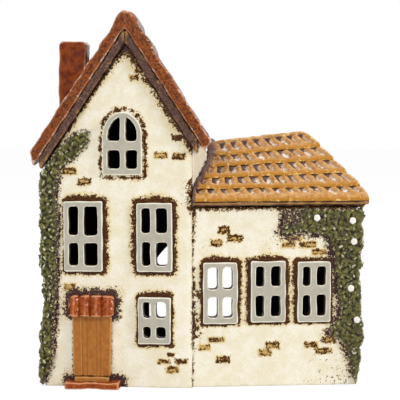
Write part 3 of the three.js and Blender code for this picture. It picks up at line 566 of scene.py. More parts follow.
# What each colour is for, and how it looks on a screen
COLOURS = {
    "cream": ("Walls", (0.955, 0.93, 0.86)),
    "cream_shade": ("Walls where the glaze is thicker", (0.925, 0.885, 0.775)),
    "crackle": ("Fine lines in the cream glaze", (0.82, 0.77, 0.65)),
    "halo": ("Yellow glaze around the brown", (0.9, 0.81, 0.59)),
    "ochre": ("Bricks that show through the plaster", (0.74, 0.58, 0.27)),
    "brown": ("Brown glaze pooled around frames and bricks", (0.26, 0.125, 0.0)),
    "brown_light": ("Brown glaze where it is thin", (0.55, 0.37, 0.11)),
    "purple": ("Purple-brown glaze around ivy and door", (0.27, 0.17, 0.17)),
    "purple_light": ("Purple-brown glaze where it is thin", (0.45, 0.36, 0.26)),
    # Inside of the house: raw clay, darkened near black as painted shade.
    "raw_clay": ("Inside of the house", (0.1, 0.07, 0.06)),
    "window": ("Window frames", (0.72, 0.7, 0.635)),
    "window_shade": ("Window frames where the glaze is thicker", (0.68, 0.66, 0.595)),
    "window_rim": ("Outer edges of the window frames", (0.95, 0.93, 0.86)),
    "tile": ("Wing's tiles", (0.8, 0.6, 0.35)),
    "tile_shade": ("Wing's tiles where the glaze is thicker", (0.7, 0.47, 0.19)),
    "tile_lip": ("Lower edges of the tiles", (0.7, 0.46, 0.0)),
    # Pale glaze on the tiles' sharp edges, and painted highlights there.
    "tile_edge": ("Sharp edges of the tiles", (0.95, 0.82, 0.52)),
    "tile_grey": ("Scoops of the tiles", (0.72, 0.59, 0.47)),
    # Painted glints in the scoops.
    "tile_glint": ("Thin glaze in the scoops", (0.96, 0.92, 0.87)),
    # Pooled glaze in the hollows, and painted shade under the lips.
    "tile_deep": ("Deepest hollows of the tiles", (0.27, 0.14, 0.1)),
    "roof": ("Tower's roof", (0.43, 0.18, 0.02)),
    "roof_light": ("Tower's roof where the glaze is thin", (0.66, 0.35, 0.09)),
    "roof_dark": ("Tower's roof where the glaze is thick", (0.22, 0.07, 0.02)),
    # Sharp edges of the roof and chimney: thin glaze and painted highlights.
    "roof_edge": ("Sharp edges of the tower's roof", (0.74, 0.5, 0.33)),
    # Painted highlights along the roof's edges.
    "roof_pale": ("Thinnest glaze on the roof's edges", (0.88, 0.76, 0.7)),
    "dark": ("Lining under the roofs", (0.27, 0.18, 0.16)),
    "dark_light": ("Lining where the glaze is thin", (0.4, 0.29, 0.25)),
    "dark_edge": ("Edges of the lining", (0.7, 0.52, 0.28)),
    "chimney": ("Chimney", (0.42, 0.14, 0.0)),
    "chimney_light": ("Chimney where the glaze is thin", (0.6, 0.27, 0.03)),
    "door": ("Door and sill", (0.69, 0.44, 0.18)),
    "door_shade": ("Door where the glaze is thicker", (0.64, 0.38, 0.14)),
    "door_pool": ("Between the door's planks", (0.62, 0.37, 0.12)),
    # Lighter lines on the planks' edges: thin glaze and painted highlights.
    "door_rim": ("Edges of the door's planks", (0.78, 0.58, 0.33)),
    "terracotta": ("Canopy and step", (0.67, 0.34, 0.11)),
    "terracotta_shade": ("Canopy and step where thicker", (0.52, 0.2, 0.04)),
    "terracotta_pool": ("Canopy and step in the hollows", (0.38, 0.13, 0.03)),
    # Pale rim on the canopy and step: thin glaze and painted highlights.
    "terracotta_rim": ("Edges of the canopy and step", (0.86, 0.6, 0.44)),
    "ivy": ("Ivy leaves", (0.27, 0.28, 0.08)),
    "ivy_light": ("Ivy leaves where the glaze is thin", (0.48, 0.46, 0.2)),
    "ivy_dark": ("Between the ivy's leaves", (0.14, 0.1, 0.06)),
    "ivy_brown": ("Brown spots on the ivy", (0.37, 0.27, 0.16)),
    # Edges of the ivy's leaves: thin glaze and painted highlights.
    "ivy_pale": ("Edges of the ivy's leaves", (0.86, 0.85, 0.75)),
    "flower": ("Flowers in the ivy", (0.96, 0.95, 0.92)),
    "flower_shade": ("Flowers where the glaze is thick", (0.9, 0.87, 0.8)),
}


def colour_property(key, description, default):
    """A colour as it looks on a screen, named after its key."""
    return bpy.props.FloatVectorProperty(
        name=key.replace("_", " ").capitalize(), description=description, default=default,
        size=3, min=0, max=1, subtype="COLOR_GAMMA")


class HouseGlazes(bpy.types.PropertyGroup):
    """Colours of the glazes."""

    __annotations__ = {key: colour_property(key, *entry) for key, entry in COLOURS.items()}


def size_property(name, description, default):
    """A length in metres with its default in millimetres."""
    return bpy.props.FloatProperty(
        name=name, description=description, default=default * MM, min=0, unit="LENGTH", precision=5
    )


class HouseClay(bpy.types.PropertyGroup):
    """Sizes of the clay's surface."""

    wall_grid: size_property("Wall grid", "Spacing of the walls' vertices", 0.6)
    frame_grid: size_property("Frame grid", "Spacing of the window frames' vertices", 0.25)
    trim_grid: size_property("Trim grid", "Spacing of the doorway's vertices", 0.28)
    roof_grid: size_property("Roof grid", "Spacing of the tower roof's vertices", 0.55)
    lining_grid: size_property("Lining grid", "Spacing of the linings' vertices", 0.72)
    tile_grid: size_property("Tile grid", "Spacing of the tiles' vertices", 0.36)
    ivy_grid: size_property("Ivy grid", "Spacing of the ivy's vertices", 0.38)


class HouseStudio(bpy.types.PropertyGroup):
    """Camera and light."""

    camera_place: bpy.props.FloatVectorProperty(
        name="Camera place", description="Where the camera stands", default=(-0.0002, -0.68952, 0.14),
        subtype="TRANSLATION", unit="LENGTH")
    camera_target: bpy.props.FloatVectorProperty(
        name="Camera target", description="Point that the camera looks at",
        default=(-0.0002, -0.03952, 0.09537), subtype="TRANSLATION", unit="LENGTH")
    lens: bpy.props.FloatProperty(name="Lens", description="Focal length on a 36 mm sensor", default=117.28)
    sky: bpy.props.FloatProperty(name="Sky", description="Strength of the light from all sides", default=0.6)
    key: bpy.props.FloatProperty(name="Key", description="Power of the main lamp, in watts", default=3.3)
    fill: bpy.props.FloatProperty(name="Fill", description="Power of the filling lamp, in watts", default=4.4)


# Pieces


class Stains:
    """Brown, yellow and purple glaze on a front wall: how strong each is at every vertex."""

    def __init__(self, wall, front):
        self.wall = wall
        self.place = vertices(wall)
        self.x, self.y, self.z = front.local(self.place).T
        self.drift_x = self.x + ripple(self.place, 3.0, 1) * 0.7
        self.drift_z = self.z + ripple(self.place, 3.0, 2) * 0.7
        self.ebb = ripple(self.place, 7.0, 3) * 0.4
        self.brown, self.halo, self.purple = np.full((3, len(self.place)), -3.0)

    def near(self, node):
        """Distance of each vertex from a CAD node."""
        return node_distance(self.place, node)

    def add(self, field, distance, reach, strength=1.0, spread=1.5, glow=1.0):
        """Lays glaze along a distance: full at 0 and gone at its reach, with a yellow rim beyond."""
        strength = strength + self.ebb
        setattr(self, field, np.maximum(getattr(self, field), strength - distance / reach))
        self.halo = np.maximum(self.halo, ((strength + 0.1) * glow - distance / (reach * spread)).clip(-3, 1))

    def ring(self, edges, left, right, top, bottom):
        """A ring around a window, as wide as given on each side and domed over the top."""
        x0, z0, x1, z1 = edges
        dome = 1 + 0.5 * (1 - ((self.x - (x0 + x1) / 2) / (x1 - x0) * 2) ** 2).clip(0)
        across = np.maximum((x0 - self.drift_x) / left, (self.drift_x - x1) / right)
        along = np.maximum((z0 - self.drift_z) / bottom, (self.drift_z - z1) / (top * dome))
        self.add("brown", np.hypot(across.clip(0), along.clip(0)), 0.55, 1.9)

    def brick(self, chance, x, z, width, height):
        """A brick's outline, broken, with yellow glaze inside it."""
        depth = box_distance(self.drift_x * 0.3 + self.x * 0.7, self.drift_z * 0.3 + self.z * 0.7,
                             x - width / 2, z - height / 2, x + width / 2, z + height / 2)
        force = chance.uniform(0.55, 0.95) + 0.5 * ripple(self.place, 2.0, 6)
        self.brown = np.maximum(self.brown, force - np.abs(depth + 0.5) / 1.4)
        self.halo = np.maximum(self.halo, 2.0 - np.maximum(depth + 0.4, 0) / 0.8)

    def bricks(self, seed, bricks):
        """All bricks of a front."""
        chance = np.random.default_rng(seed)
        for brick in bricks:
            self.brick(chance, *brick)

    def lay(self, inside):
        """Paints the wall with its stains, and with which of its vertices are inside the house."""
        for name in ("brown", "halo", "purple"):
            paint(self.wall, name, getattr(self, name))
        paint(self.wall, "inside", inside.astype(float))


def window_edges(front, node):
    """A window frame's outline on its front: left, bottom, right and top."""
    low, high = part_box(node)
    corners = front.local(np.array([(low.x, low.y, low.z), (high.x, high.y, high.z)]))
    return corners[0][0] + 0.15, low.z / MM, corners[1][0] - 0.15, high.z / MM


# How wide the brown ring around each window is on its left, right, top and bottom
RINGS = {
    TOWER: {
        "window_upper_left": (1.4, 3.2, 2.5, 2.3), "window_upper_right": (3.3, 3.0, 2.6, 2.4),
        "window_lower_right": (1.8, 1.8, 2.4, 2.2),
    },
    WING: {
        "window_wing_left": (1.7, 2.6, 2.4, 1.7), "window_wing_middle": (2.6, 2.6, 2.2, 1.7),
        "window_wing_right": (2.6, 2.0, 2.0, 1.7),
    },
}


class HOUSE_OT_walls(bpy.types.Operator):
    """Walls and floor: cream slabs, stained by the darker glazes around them"""

    bl_idname = "house.walls"
    bl_label = "Walls"

    def execute(self, context):
        glaze = wall_glaze(context.scene.house_glazes)
        grid = context.scene.house_clay.wall_grid / MM
        self.tower_front(glaze, grid)
        self.wing_front(glaze, grid)
        self.tower_side(glaze, grid)
        for node in ("tower_left_wall", "wing_right_wall", "back_wall", "floor"):
            self.plain(node, glaze, grid * PLAIN_COARSER)
        return {"FINISHED"}

    def tower_front(self, glaze, grid):
        """The front with the door."""
        wall = soft_copy("glazed_tower_front", "tower_front_wall", grid, 4)
        pinch(wall)
        warp(wall)
        stains = Stains(wall, TOWER)
        for node, widths in RINGS[TOWER].items():
            stains.ring(window_edges(TOWER, node), *widths)
        gable = stains.near("window_gable")
        stains.add("brown", np.abs(gable - 1.4), 1.3, 0.95 + 0.8 * ripple(stains.place, 2.5, 7), 1.8)
        roof = roof_height(at_front(stains.x, stains.y, ROOF_FRONT), ROOF_SLAB + ROOF_UNDERLAY + 2 * LUTING)
        roof = (roof - stains.z) * cos(radians(PITCH["left"]))
        reach = np.interp(stains.z, [120, 150, 163, 172], [0.5, 0.5, 1.0, 6.0])
        reach = reach + np.where(stains.x > APEX_X, 2.6, 1.3)
        stains.add("brown", roof.clip(0), reach, 1.1, 2.0)
        stains.add("purple", roof.clip(0), 1.2, 1.0)
        stains.add("purple", (GABLE_DARK - stains.z).clip(0), 2.0, 1.0)
        stains.add("brown", (GABLE_DARK - stains.z).clip(0), 6.0, 1.0)
        width = np.interp(stains.z, [0, 20, 50, 86, 93, 105, 108], [1.2, 1.6, 0.8, 0.8, 5.5, 5.5, 0.8])
        force = np.interp(stains.z, [86, 93, 104, 108], [0.4, 0.8, 0.8, 0.1])
        stains.add("brown", np.abs(stains.x), width, force)
        stains.bricks(4, TOWER_BRICKS)
        ivy = stains.near("ivy_left")
        branch = (stains.z > 112) & (stains.x > -57)
        stains.add("purple", ivy, 2.8, np.where(branch, 0.2, 0.75))
        stains.add("brown", ivy, 3.2, np.where(branch, 0.35, 0.55))
        door = np.minimum(stains.near("door_canopy"), stains.near("door_step"))
        stains.add("purple", door, 3.2, 1.2)
        stains.add("brown", stains.near("door"), 1.0, 0.5)
        within = (stains.x < -2) & (stains.x > 2 - TOWER_WIDTH)
        stains.lay((stains.y > 2.2) & within)
        dress(wall, ["tower_front_wall"], glaze)

    def wing_front(self, glaze, grid):
        """The front with three windows in a row."""
        wall = soft_copy("glazed_wing_front", "wing_front_wall", grid, 4)
        self.join_seam(wall)
        warp(wall)
        stains = Stains(wall, WING)
        for node, widths in RINGS[WING].items():
            stains.ring(window_edges(WING, node), *widths)
        width = np.interp(stains.z, [0, 20, 26, 44, 54, 80, 88], [2.2, 2.6, 6.0, 6.0, 1.4, 1.4, 3.0])
        force = np.interp(stains.z, [0, 20, 26, 44, 54, 80, 88], [0.6, 0.6, 0.65, 0.65, 0.7, 0.7, 1.0])
        force = force + 0.5 * ripple(stains.place, 1.6, 5)
        stains.add("brown", np.abs(stains.x - 0.5), width, force)
        stains.add("brown", (WING_EAVE_Z - 2.2 - stains.z).clip(0), 2.4, 0.9)
        stains.bricks(5, WING_BRICKS)
        ivy = stains.near("ivy_right")
        reach = np.interp(stains.z, [0, 30, 40, 62, 78, 86], [2.0, 2.4, 6.0, 6.0, 5.5, 2.5])
        stains.add("purple", ivy, reach, 0.85)
        stains.add("brown", ivy, 4.0, 0.7)
        low_right = np.hypot((stains.x - 76) / 22, (stains.z - 4) / 16)
        stains.brown = np.maximum(stains.brown, 0.02 - 0.5 * low_right)
        stains.lay((stains.y > 4.8) & (stains.x > 1))
        dress(wall, ["wing_front_wall"], glaze)

    def join_seam(self, wall):
        """Presses the wing's end against the tower."""
        points = vertices(wall)
        x = WING.local(points)[:, 0]
        points[:, 0] -= 1.0 * MM * smooth(2.5 - x, 0, 2.5)
        points[:, 2] += EAVE_LIFT * MM * smooth(points[:, 2] / MM, 80, 89)
        move(wall, points)

    def tower_side(self, glaze, grid):
        """The wall above the wing's roof."""
        wall = soft_copy("glazed_tower_side", "tower_side_wall", grid, 4)
        points = vertices(wall)
        points[:, 1] -= 0.9 * MM * smooth(-TOWER.local(points)[:, 1], -9, -5)
        move(wall, points)
        swell(wall, 0.2)
        stains = Stains(wall, TOWER)
        roof = np.full(len(stains.x), FAR)
        for course in range(COURSES):
            roof = np.minimum(roof, stains.near("wing_tiles_front_%d" % (course + 1)))
        stains.add("purple", roof, 2.4, 1.0, glow=-1)
        stains.add("brown", stains.near("tower_underlay_right"), 1.2, 0.7, glow=-1)
        side = at_front(stains.x, stains.y, 24)
        stains.lay(side < np.interp(stains.y, [-6, 5, 24, 99], [-4, -3.5, 3, 3]))
        dress(wall, ["tower_side_wall"], glaze)

    def plain(self, node, glaze, grid):
        """A wall without windows, or the floor."""
        wall = soft_copy("glazed_" + node, node, grid, 3)
        pinch(wall)
        stains = Stains(wall, TOWER)
        low, high = (np.array(corner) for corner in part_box(node))
        if node == "floor":
            inside = stains.place[:, 2] > high[2] / 2
        elif node == "back_wall":
            inside = stains.place[:, 1] < low[1] + 0.4 * (high[1] - low[1])
            inside &= np.abs(stains.place[:, 0] - (low + high)[0] / 2) < (high - low)[0] / 2 - 3 * MM
            self.narrow_arch(wall)
            stains.place = vertices(wall)
            stains.add("brown", self.arch_distance(stains), 2.2, 0.9)
        elif node == "wing_right_wall":
            inside = WING.local(stains.place)[:, 0] < WING_WIDTH - WALL / 2
        else:
            across = (low + high)[0] / 2
            inside = (stains.place[:, 0] - across) * np.sign(-across) > 0
        stains.add("purple", stains.near("ivy_left"), 2.6, 1.0)
        stains.add("purple", stains.near("ivy_right"), 2.6, 1.0)
        stains.lay(inside)
        dress(wall, [node], glaze)

    def narrow_arch(self, wall):
        """Draws the arch's left side in a little, as the windows show it."""
        points = vertices(wall)
        x = points[:, 0] / MM
        points[:, 0] += ARCH_DRAWN * MM * smooth(x, -70, -36) * (1 - smooth(x, -32, 0))
        move(wall, points)

    def arch_distance(self, stains):
        """Distance out from the arch in the back wall."""
        middle = stains.place[:, 0] / MM - CORNER.x - ARCH_CENTRE + stains.ebb
        z = stains.drift_z
        top = ARCH_SILL + ARCH_STRAIGHT
        side = np.where(z > top, np.hypot(middle, z - top), np.abs(middle)) - ARCH_RADIUS
        return np.maximum(side, ARCH_SILL - z).clip(0)


class HOUSE_OT_windows(bpy.types.Operator):
    """Window frames: grey glazed strips of clay, rounded at every edge"""

    bl_idname = "house.windows"
    bl_label = "Window frames"

    def execute(self, context):
        glaze = window_glaze(context.scene.house_glazes)
        grid = context.scene.house_clay.frame_grid / MM
        for front, nodes in ((TOWER, ("window_gable", *RINGS[TOWER])), (WING, RINGS[WING])):
            for node in nodes:
                piece = soft_copy("glazed_" + node, node, grid, 7)
                warp(piece)
                x, y, z = front.local(vertices(piece)).T
                edge = np.minimum(np.minimum(x - x.min(), x.max() - x), np.minimum(z - z.min(), z.max() - z))
                if node == "window_gable":
                    edge = np.minimum(edge, self.arch_depth(x, z))
                paint(piece, "rim", 1.6 - edge / 0.6)
                dress(piece, [node], glaze)
        return {"FINISHED"}

    def arch_depth(self, x, z):
        """Distance in from the gable window's round head."""
        half = (x.max() - x.min()) / 2
        spring = z.max() - GABLE_RISE
        round_share = np.hypot((x - x.min() - half) / half, np.maximum(z - spring, 0) / GABLE_RISE)
        return np.where(z > spring, (1 - round_share) * half, half)


def rounded_nose(share, radius, top):
    """A lip's round lower edge, from its foot to its top: place up the slope, and height."""
    angle = np.radians(-70 + 160 * share)
    return -radius * np.cos(angle), top - radius + radius * np.sin(angle)


class Tiles:
    """One course of pressed tiles: the scoop in each of them."""

    def __init__(self, count, seed, depth, foot=0.3):
        chance = np.random.default_rng(seed)
        self.count = count
        self.depth = depth * chance.uniform(0.7, 1.15, count)
        self.width = chance.uniform(0.8, 1.05, count)
        self.foot = foot + chance.uniform(-0.04, 0.06, count)

    def scoop(self, u, v):
        """Depth at u along and v up the course, and how near it is to the scoop's dark upper left, where
        glaze pools and shade is painted.
        """
        place = np.clip(u * self.count - 0.22 * (1 - v), 0, self.count - 0.001)
        column = place.astype(int)
        across = (place - column) / self.width[column]
        foot = self.foot[column] + 0.2 * ((across - 0.4) / 0.4) ** 2
        dip = smooth(across, 0, 0.12) * (1 - smooth(across, 0.5, 0.9))
        dip *= smooth(v, foot, foot + 0.25) * (1 - 0.75 * smooth(v, 0.6, 1.0))
        dip *= smooth(self.count - place, 0.15, 0.5)
        dark = (1 - across / 0.6).clip(0) * smooth(across, 0, 0.08) + 0.6 * smooth(v, 0.75, 1.0)
        return dip * self.depth[column], dark * smooth(v, foot, foot + 0.3) * (1 - smooth(across, 0.6, 0.9))


def tower_plan():
    """Plan of the tower's side, where the wing's roof ends, in the wing's frame: y and x."""
    bends = [TOWER.matrix @ Vector(point) for point in ((0.3, -9, 0), (0.3, 5.3, 0), (5.8, 24, 0))]
    bends.append(bends[-1] + Vector((0, 70 * MM, 0)))
    plan = WING.local(np.array([tuple(point) for point in bends]))
    return plan[:, 1], plan[:, 0]


def wing_slope(side, share):
    """Ends of a level row on one of the wing roof's slopes, that share up from its eave."""
    share = np.asarray(share, dtype=float)
    corner_x = WING_EAVE_RIGHT + (RIDGE_RIGHT - WING_EAVE_RIGHT) * share
    corner_x = corner_x + HIP_SWELL * smooth(share, 0.0, 0.2) + 0.4 * share
    corner_z = WING_EAVE_Z + (ridge_height(RIDGE_RIGHT) - WING_EAVE_Z) * share
    front_y = WING_EAVE_FRONT + (RIDGE_DEPTH - RIDGE_WIDTH / 2 - WING_EAVE_FRONT) * share

    def back_y(x):
        eave = (WING_EAVE_BACK - x * sin(radians(TURN))) / cos(radians(TURN))
        return eave + (RIDGE_DEPTH + RIDGE_WIDTH / 2 - eave) * share

    front_corner = np.stack([corner_x, front_y, corner_z], axis=-1)
    back_corner = np.stack([corner_x, back_y(WING_EAVE_RIGHT), corner_z], axis=-1)
    if side == "hip":
        return front_corner, back_corner
    y = front_y if side == "front" else back_y(0)
    x = np.interp(y, *tower_plan())
    start = np.stack([x, y, WING_EAVE_Z + (ridge_height(x) - WING_EAVE_Z) * share], axis=-1)
    return (start, front_corner) if side == "front" else (back_corner, start)


JOINT = (2.4, 3.2, 4.4, 5.0, 7.6)  # how far the joint with the tower reaches over each course


class HOUSE_OT_wing_tiles(bpy.types.Operator):
    """Wing roof: courses of pressed tiles on three slopes, and the ridge roll"""

    bl_idname = "house.wing_tiles"
    bl_label = "Wing tiles"

    def execute(self, context):
        glaze = tile_glaze(context.scene.house_glazes)
        grid = context.scene.house_clay.tile_grid / MM
        for number, side in enumerate(("front", "hip", "back")):
            for course in range(COURSES):
                self.course(side, course, glaze, grid, 10 * number + course + 1)
        roll = soft_copy("glazed_ridge_roll", "wing_ridge_roll", 0.3, 6)
        points = vertices(roll)
        x, _, z = WING.local(points).T
        points[:, 2] -= 0.9 * MM * smooth(ridge_height(x) + 3.0 - z, -0.3, 0.5)
        move(roll, points)
        points = vertices(roll)
        points[:, 2] -= 1.6 * MM * smooth(WING.local(points)[:, 0], 60.5, 64)
        move(roll, points)
        wobble(roll, 4.0, 0.6)
        for name, value in (("lip", 0.2), ("scoop", 0.45), ("hollow", 0.0), ("purple", 0.0)):
            paint(roll, name, np.full(len(roll.data.vertices), value))
        dress(roll, ["wing_ridge_roll"], glaze)
        return {"FINISHED"}

    def course(self, side, course, glaze, grid, seed):
        """One course: a fine grid laid on its slope, with a round lip and scoops, and closed underneath."""
        low, high = course / COURSES, (course + 1) / COURSES
        first, last = wing_slope(side, [low, high])
        length = np.linalg.norm((first[1] + last[1] - first[0] - last[0]) / 2)
        width = np.linalg.norm(last[0] - first[0])
        tiles = Tiles(max(2, round(width / TILE_WIDTH)), seed, TILE_SCOOP, 0.03 if course else 0.06)
        is_top = course == COURSES - 1

        bm = bmesh.new()
        bmesh.ops.create_grid(
            bm, x_segments=round(width / grid),
            y_segments=round(1.1 * length / grid / (1 - NOSE)), size=0.5)
        lower = bmesh.ops.extrude_face_region(bm, geom=list(bm.faces))["geom"]
        lower = {vert for vert in lower if isinstance(vert, bmesh.types.BMVert)}
        is_lower = np.array([vert in lower for vert in bm.verts])
        u, t = (np.array([vert.co[:2] for vert in bm.verts]) + 0.5).T

        wave = np.array([noise.noise(Vector((a * width / 7, seed * 3.7, 0))) for a in u])
        body = np.clip((t - NOSE) / (1 - NOSE), 0, 1)
        radius = LIP_RADIUS if course else EAVE_LIP_RADIUS
        nose_up, nose_height = rounded_nose(np.clip(t / NOSE, 0, 1), radius, TILE_TOP + TILE_LIP)
        foot = (radius + 0.1 if course == 0 else 0.2) + 0.3 * wave * (1 if course else 0.3)
        depth, fall = tiles.scoop(u, body)
        ends = {"front": u * width, "hip": np.full(len(u), 99.0), "back": (1 - u) * width}[side]
        joint = 1.0 - ends / (JOINT[course] + 1.5 * wave)
        depth = depth * (1 - smooth(joint, 0, 0.4))
        height = np.where(t < NOSE, nose_height, TILE_TOP + TILE_LIP * (1 - body**2) - depth)
        height = height + 0.3 * wave * smooth(1 - body, 0, 0.5)
        rise = TOP_JOINT_RISE if is_top else JOINT_RISE
        height = height + rise * smooth(joint, 0.2, 0.7) * smooth(body, 0, 0.3)
        if is_top:
            height = height + (0.5 + depth) * smooth(body, 0.75, 0.95)
        up = foot * (1 - body) + nose_up * (t < NOSE)
        share = low + (high - low) * (body + up / length)
        share = np.where(is_lower, low + (high - low) * t, share)
        height = np.where(is_lower, TILE_BASE, height)
        start, end = wing_slope(side, share)
        place = start + (end - start) * u[:, None]
        place[:, 2] += height
        for vert, co in zip(bm.verts, place):
            vert.co = co
        bmesh.ops.recalc_face_normals(bm, faces=bm.faces)
        node = "wing_tiles_%s_%d" % (side, course + 1)
        piece = new_piece("glazed_" + node, bm, WING.matrix)

        # Painted shade just under the lip of the course above and along the foot of this course's own lip,
        # added to each scoop's dark upper left (pooled glaze and painted shade).
        shade_under_lip = smooth(body, 0.88, 0.98) * (not is_top)
        shade_under_lip = shade_under_lip + 1 - smooth(t, 0.15 * NOSE, 0.55 * NOSE)
        paint(piece, "scoop", depth / 1.2)
        paint(piece, "hollow", fall * 1.9 + shade_under_lip)
        lip = 1 - smooth(t, 0.5 * NOSE, 0.8 * NOSE) if course == 0 else 1 - smooth(body, 0.0, 0.2)
        paint(piece, "lip", lip)
        paint(piece, "purple", joint + 0.1)
        dress(piece, [node], glaze)


class HOUSE_OT_linings(bpy.types.Operator):
    """Dark slabs under the tiles of both roofs"""

    bl_idname = "house.linings"
    bl_label = "Roof linings"

    def execute(self, context):
        c = context.scene.house_glazes
        grid = context.scene.house_clay.lining_grid / MM
        glaze = plain_glaze("dark_glaze", c.dark, c.dark_light, c.dark_edge, c.brown, 0.9)
        for node in ("tower_underlay_left", "tower_underlay_right", "wing_underlay_front",
                     "wing_underlay_hip", "wing_underlay_back"):
            piece = soft_copy("glazed_" + node, node, grid, 2)
            swell(piece, 0.25)
            if node == "wing_underlay_front":
                self.thin(piece)
            elif node == "tower_underlay_left":
                self.shorten(piece)
            wobble(piece, 4.0, 0.5)
            dress(piece, [node], glaze)
        return {"FINISHED"}

    def thin(self, piece):
        """Takes clay off under the wing's front eave."""
        points = vertices(piece)
        x, y, z = WING.local(points).T
        slope = (ridge_height(x) - WING_EAVE_Z) / (RIDGE_DEPTH - WING_EAVE_FRONT)
        under = WING_EAVE_Z + slope * (y - WING_EAVE_FRONT) - z
        points[:, 2] += EAVE_LIFT * MM * smooth(under, 1.0, 3.5) * (1 - smooth(y, 3.5, 6.5))
        move(piece, points)

    def shorten(self, piece):
        """Draws the left lining's low end up its slope."""
        points = vertices(piece)
        x, y, _ = TOWER.local(points).T
        back = LINING_SHORTER * MM * smooth(-at_front(x, y, ROOF_FRONT), 66, 80)
        points[:, 0] += back * cos(radians(PITCH["left"]))
        points[:, 2] += back * sin(radians(PITCH["left"]))
        move(piece, points)


# How far the right slope stands out: height, then bulge, and so on up
RIGHT_OUTLINE = (130, 0, 140, 0.3, 147, 0, 156, 1.0, 163, 0.2, 171, 0.7, 175, 2.0, 179, 0.9, 182, 0.9,
                 187, 1.6, 190, 0.4)


class HOUSE_OT_tower_roof(bpy.types.Operator):
    """Tower roof: two thick slabs, pressed into courses of tiles"""

    bl_idname = "house.tower_roof"
    bl_label = "Tower roof"

    def execute(self, context):
        glaze = roof_glaze(context.scene.house_glazes)
        grid = context.scene.house_clay.roof_grid / MM
        for side in ("left", "right"):
            node = "tower_roof_" + side
            piece = soft_copy("glazed_" + node, node, grid, 4)
            scooped = self.press(piece, side)
            wobble(piece, 5.0, 0.5)
            # The mask is raised all over the left slope, so that slab is darker everywhere.
            paint(piece, "hollow", scooped + (0.36 if side == "left" else 0))
            dress(piece, [node], glaze)
        return {"FINISHED"}

    def press(self, piece, side):
        """Presses scoops into the outer face, and gives how dark each vertex is for it: pooled glaze and
        painted shade at the top of each scoop.
        """
        points, out = vertices(piece), normals(piece)
        x, y, z = TOWER.local(points).T
        front_x = at_front(x, y, ROOF_FRONT)
        slope = radians(PITCH[side])
        down = np.abs(front_x - APEX_X) / cos(slope) - ROOF_CAP
        way = Vector((-sin(slope) if side == "left" else sin(slope), 0, cos(slope)))
        faces_out = smooth(out @ np.array(way), 0.75, 0.95)
        course = np.floor(down / ROOF_COURSE[side])
        body = 1 - (down / ROOF_COURSE[side] - course)
        depth, fall = np.zeros(len(x)), np.zeros(len(x))
        length = HOUSE_DEPTH + BACK_OVERHANG - ROOF_FRONT
        along = (y - ROOF_FRONT) / length
        for k in range(-1, 7):
            tiles = Tiles(ROOF_TILES, 40 + k + (9 if side == "right" else 0), ROOF_SCOOP)
            found = tiles.scoop(1 - along if side == "left" else along, body)
            chosen = course == k
            depth, fall = np.where(chosen, found[0], depth), np.where(chosen, found[1], fall)
        inside = smooth(y - ROOF_FRONT, 2.0, 5.0) * faces_out
        near_tip = np.clip(1 - np.abs(front_x - APEX_X) / 2.0, 0, 1)
        crest = 0.9 * np.sin(pi * np.clip(down / ROOF_CAP + 1, 0, 1)) * faces_out
        points = points + np.array(way) * ((crest - depth * inside) * MM)[:, None]
        points[:, 0] += near_tip * 1.1 * MM * (1 if side == "left" else -1)
        low_end = smooth(np.abs(front_x - APEX_X), *((38, 48) if side == "left" else (30, 42)))
        longer = ROOF_LONGER[side] * low_end * (1 - smooth(y, 6, 18)) * MM
        points[:, 0] += longer * cos(slope) * (-1 if side == "left" else 1)
        points[:, 2] -= longer * sin(slope)
        if side == "right":
            points[:, 0] += np.interp(z, RIGHT_OUTLINE[::2], RIGHT_OUTLINE[1::2]) * faces_out * MM
        move(piece, points)
        return fall**1.5 * smooth(body, 0.4, 0.9) * inside


class HOUSE_OT_chimney(bpy.types.Operator):
    """Chimney: one block of clay that widens to its top"""

    bl_idname = "house.chimney"
    bl_label = "Chimney"

    def execute(self, context):
        c = context.scene.house_glazes
        # The chimney's edges take the roof's edge colour: thin glaze and painted highlights.
        glaze = plain_glaze("chimney_glaze", c.chimney, c.chimney_light, c.roof_edge, c.roof_dark, 4.0, 0.12)
        piece = soft_copy("glazed_chimney", "chimney", 0.4, 6)
        points = vertices(piece)
        points[:, 0] -= 0.6 * MM * (1 - smooth(points[:, 2] / MM, 160, 172))
        move(piece, points)
        wobble(piece, 6.0, 0.4)
        dress(piece, ["chimney"], glaze)
        return {"FINISHED"}


LOBES = (-65.8, -60.9, -55.4, -49.4, -42.5)  # row x at which the canopy's four tiles begin and end


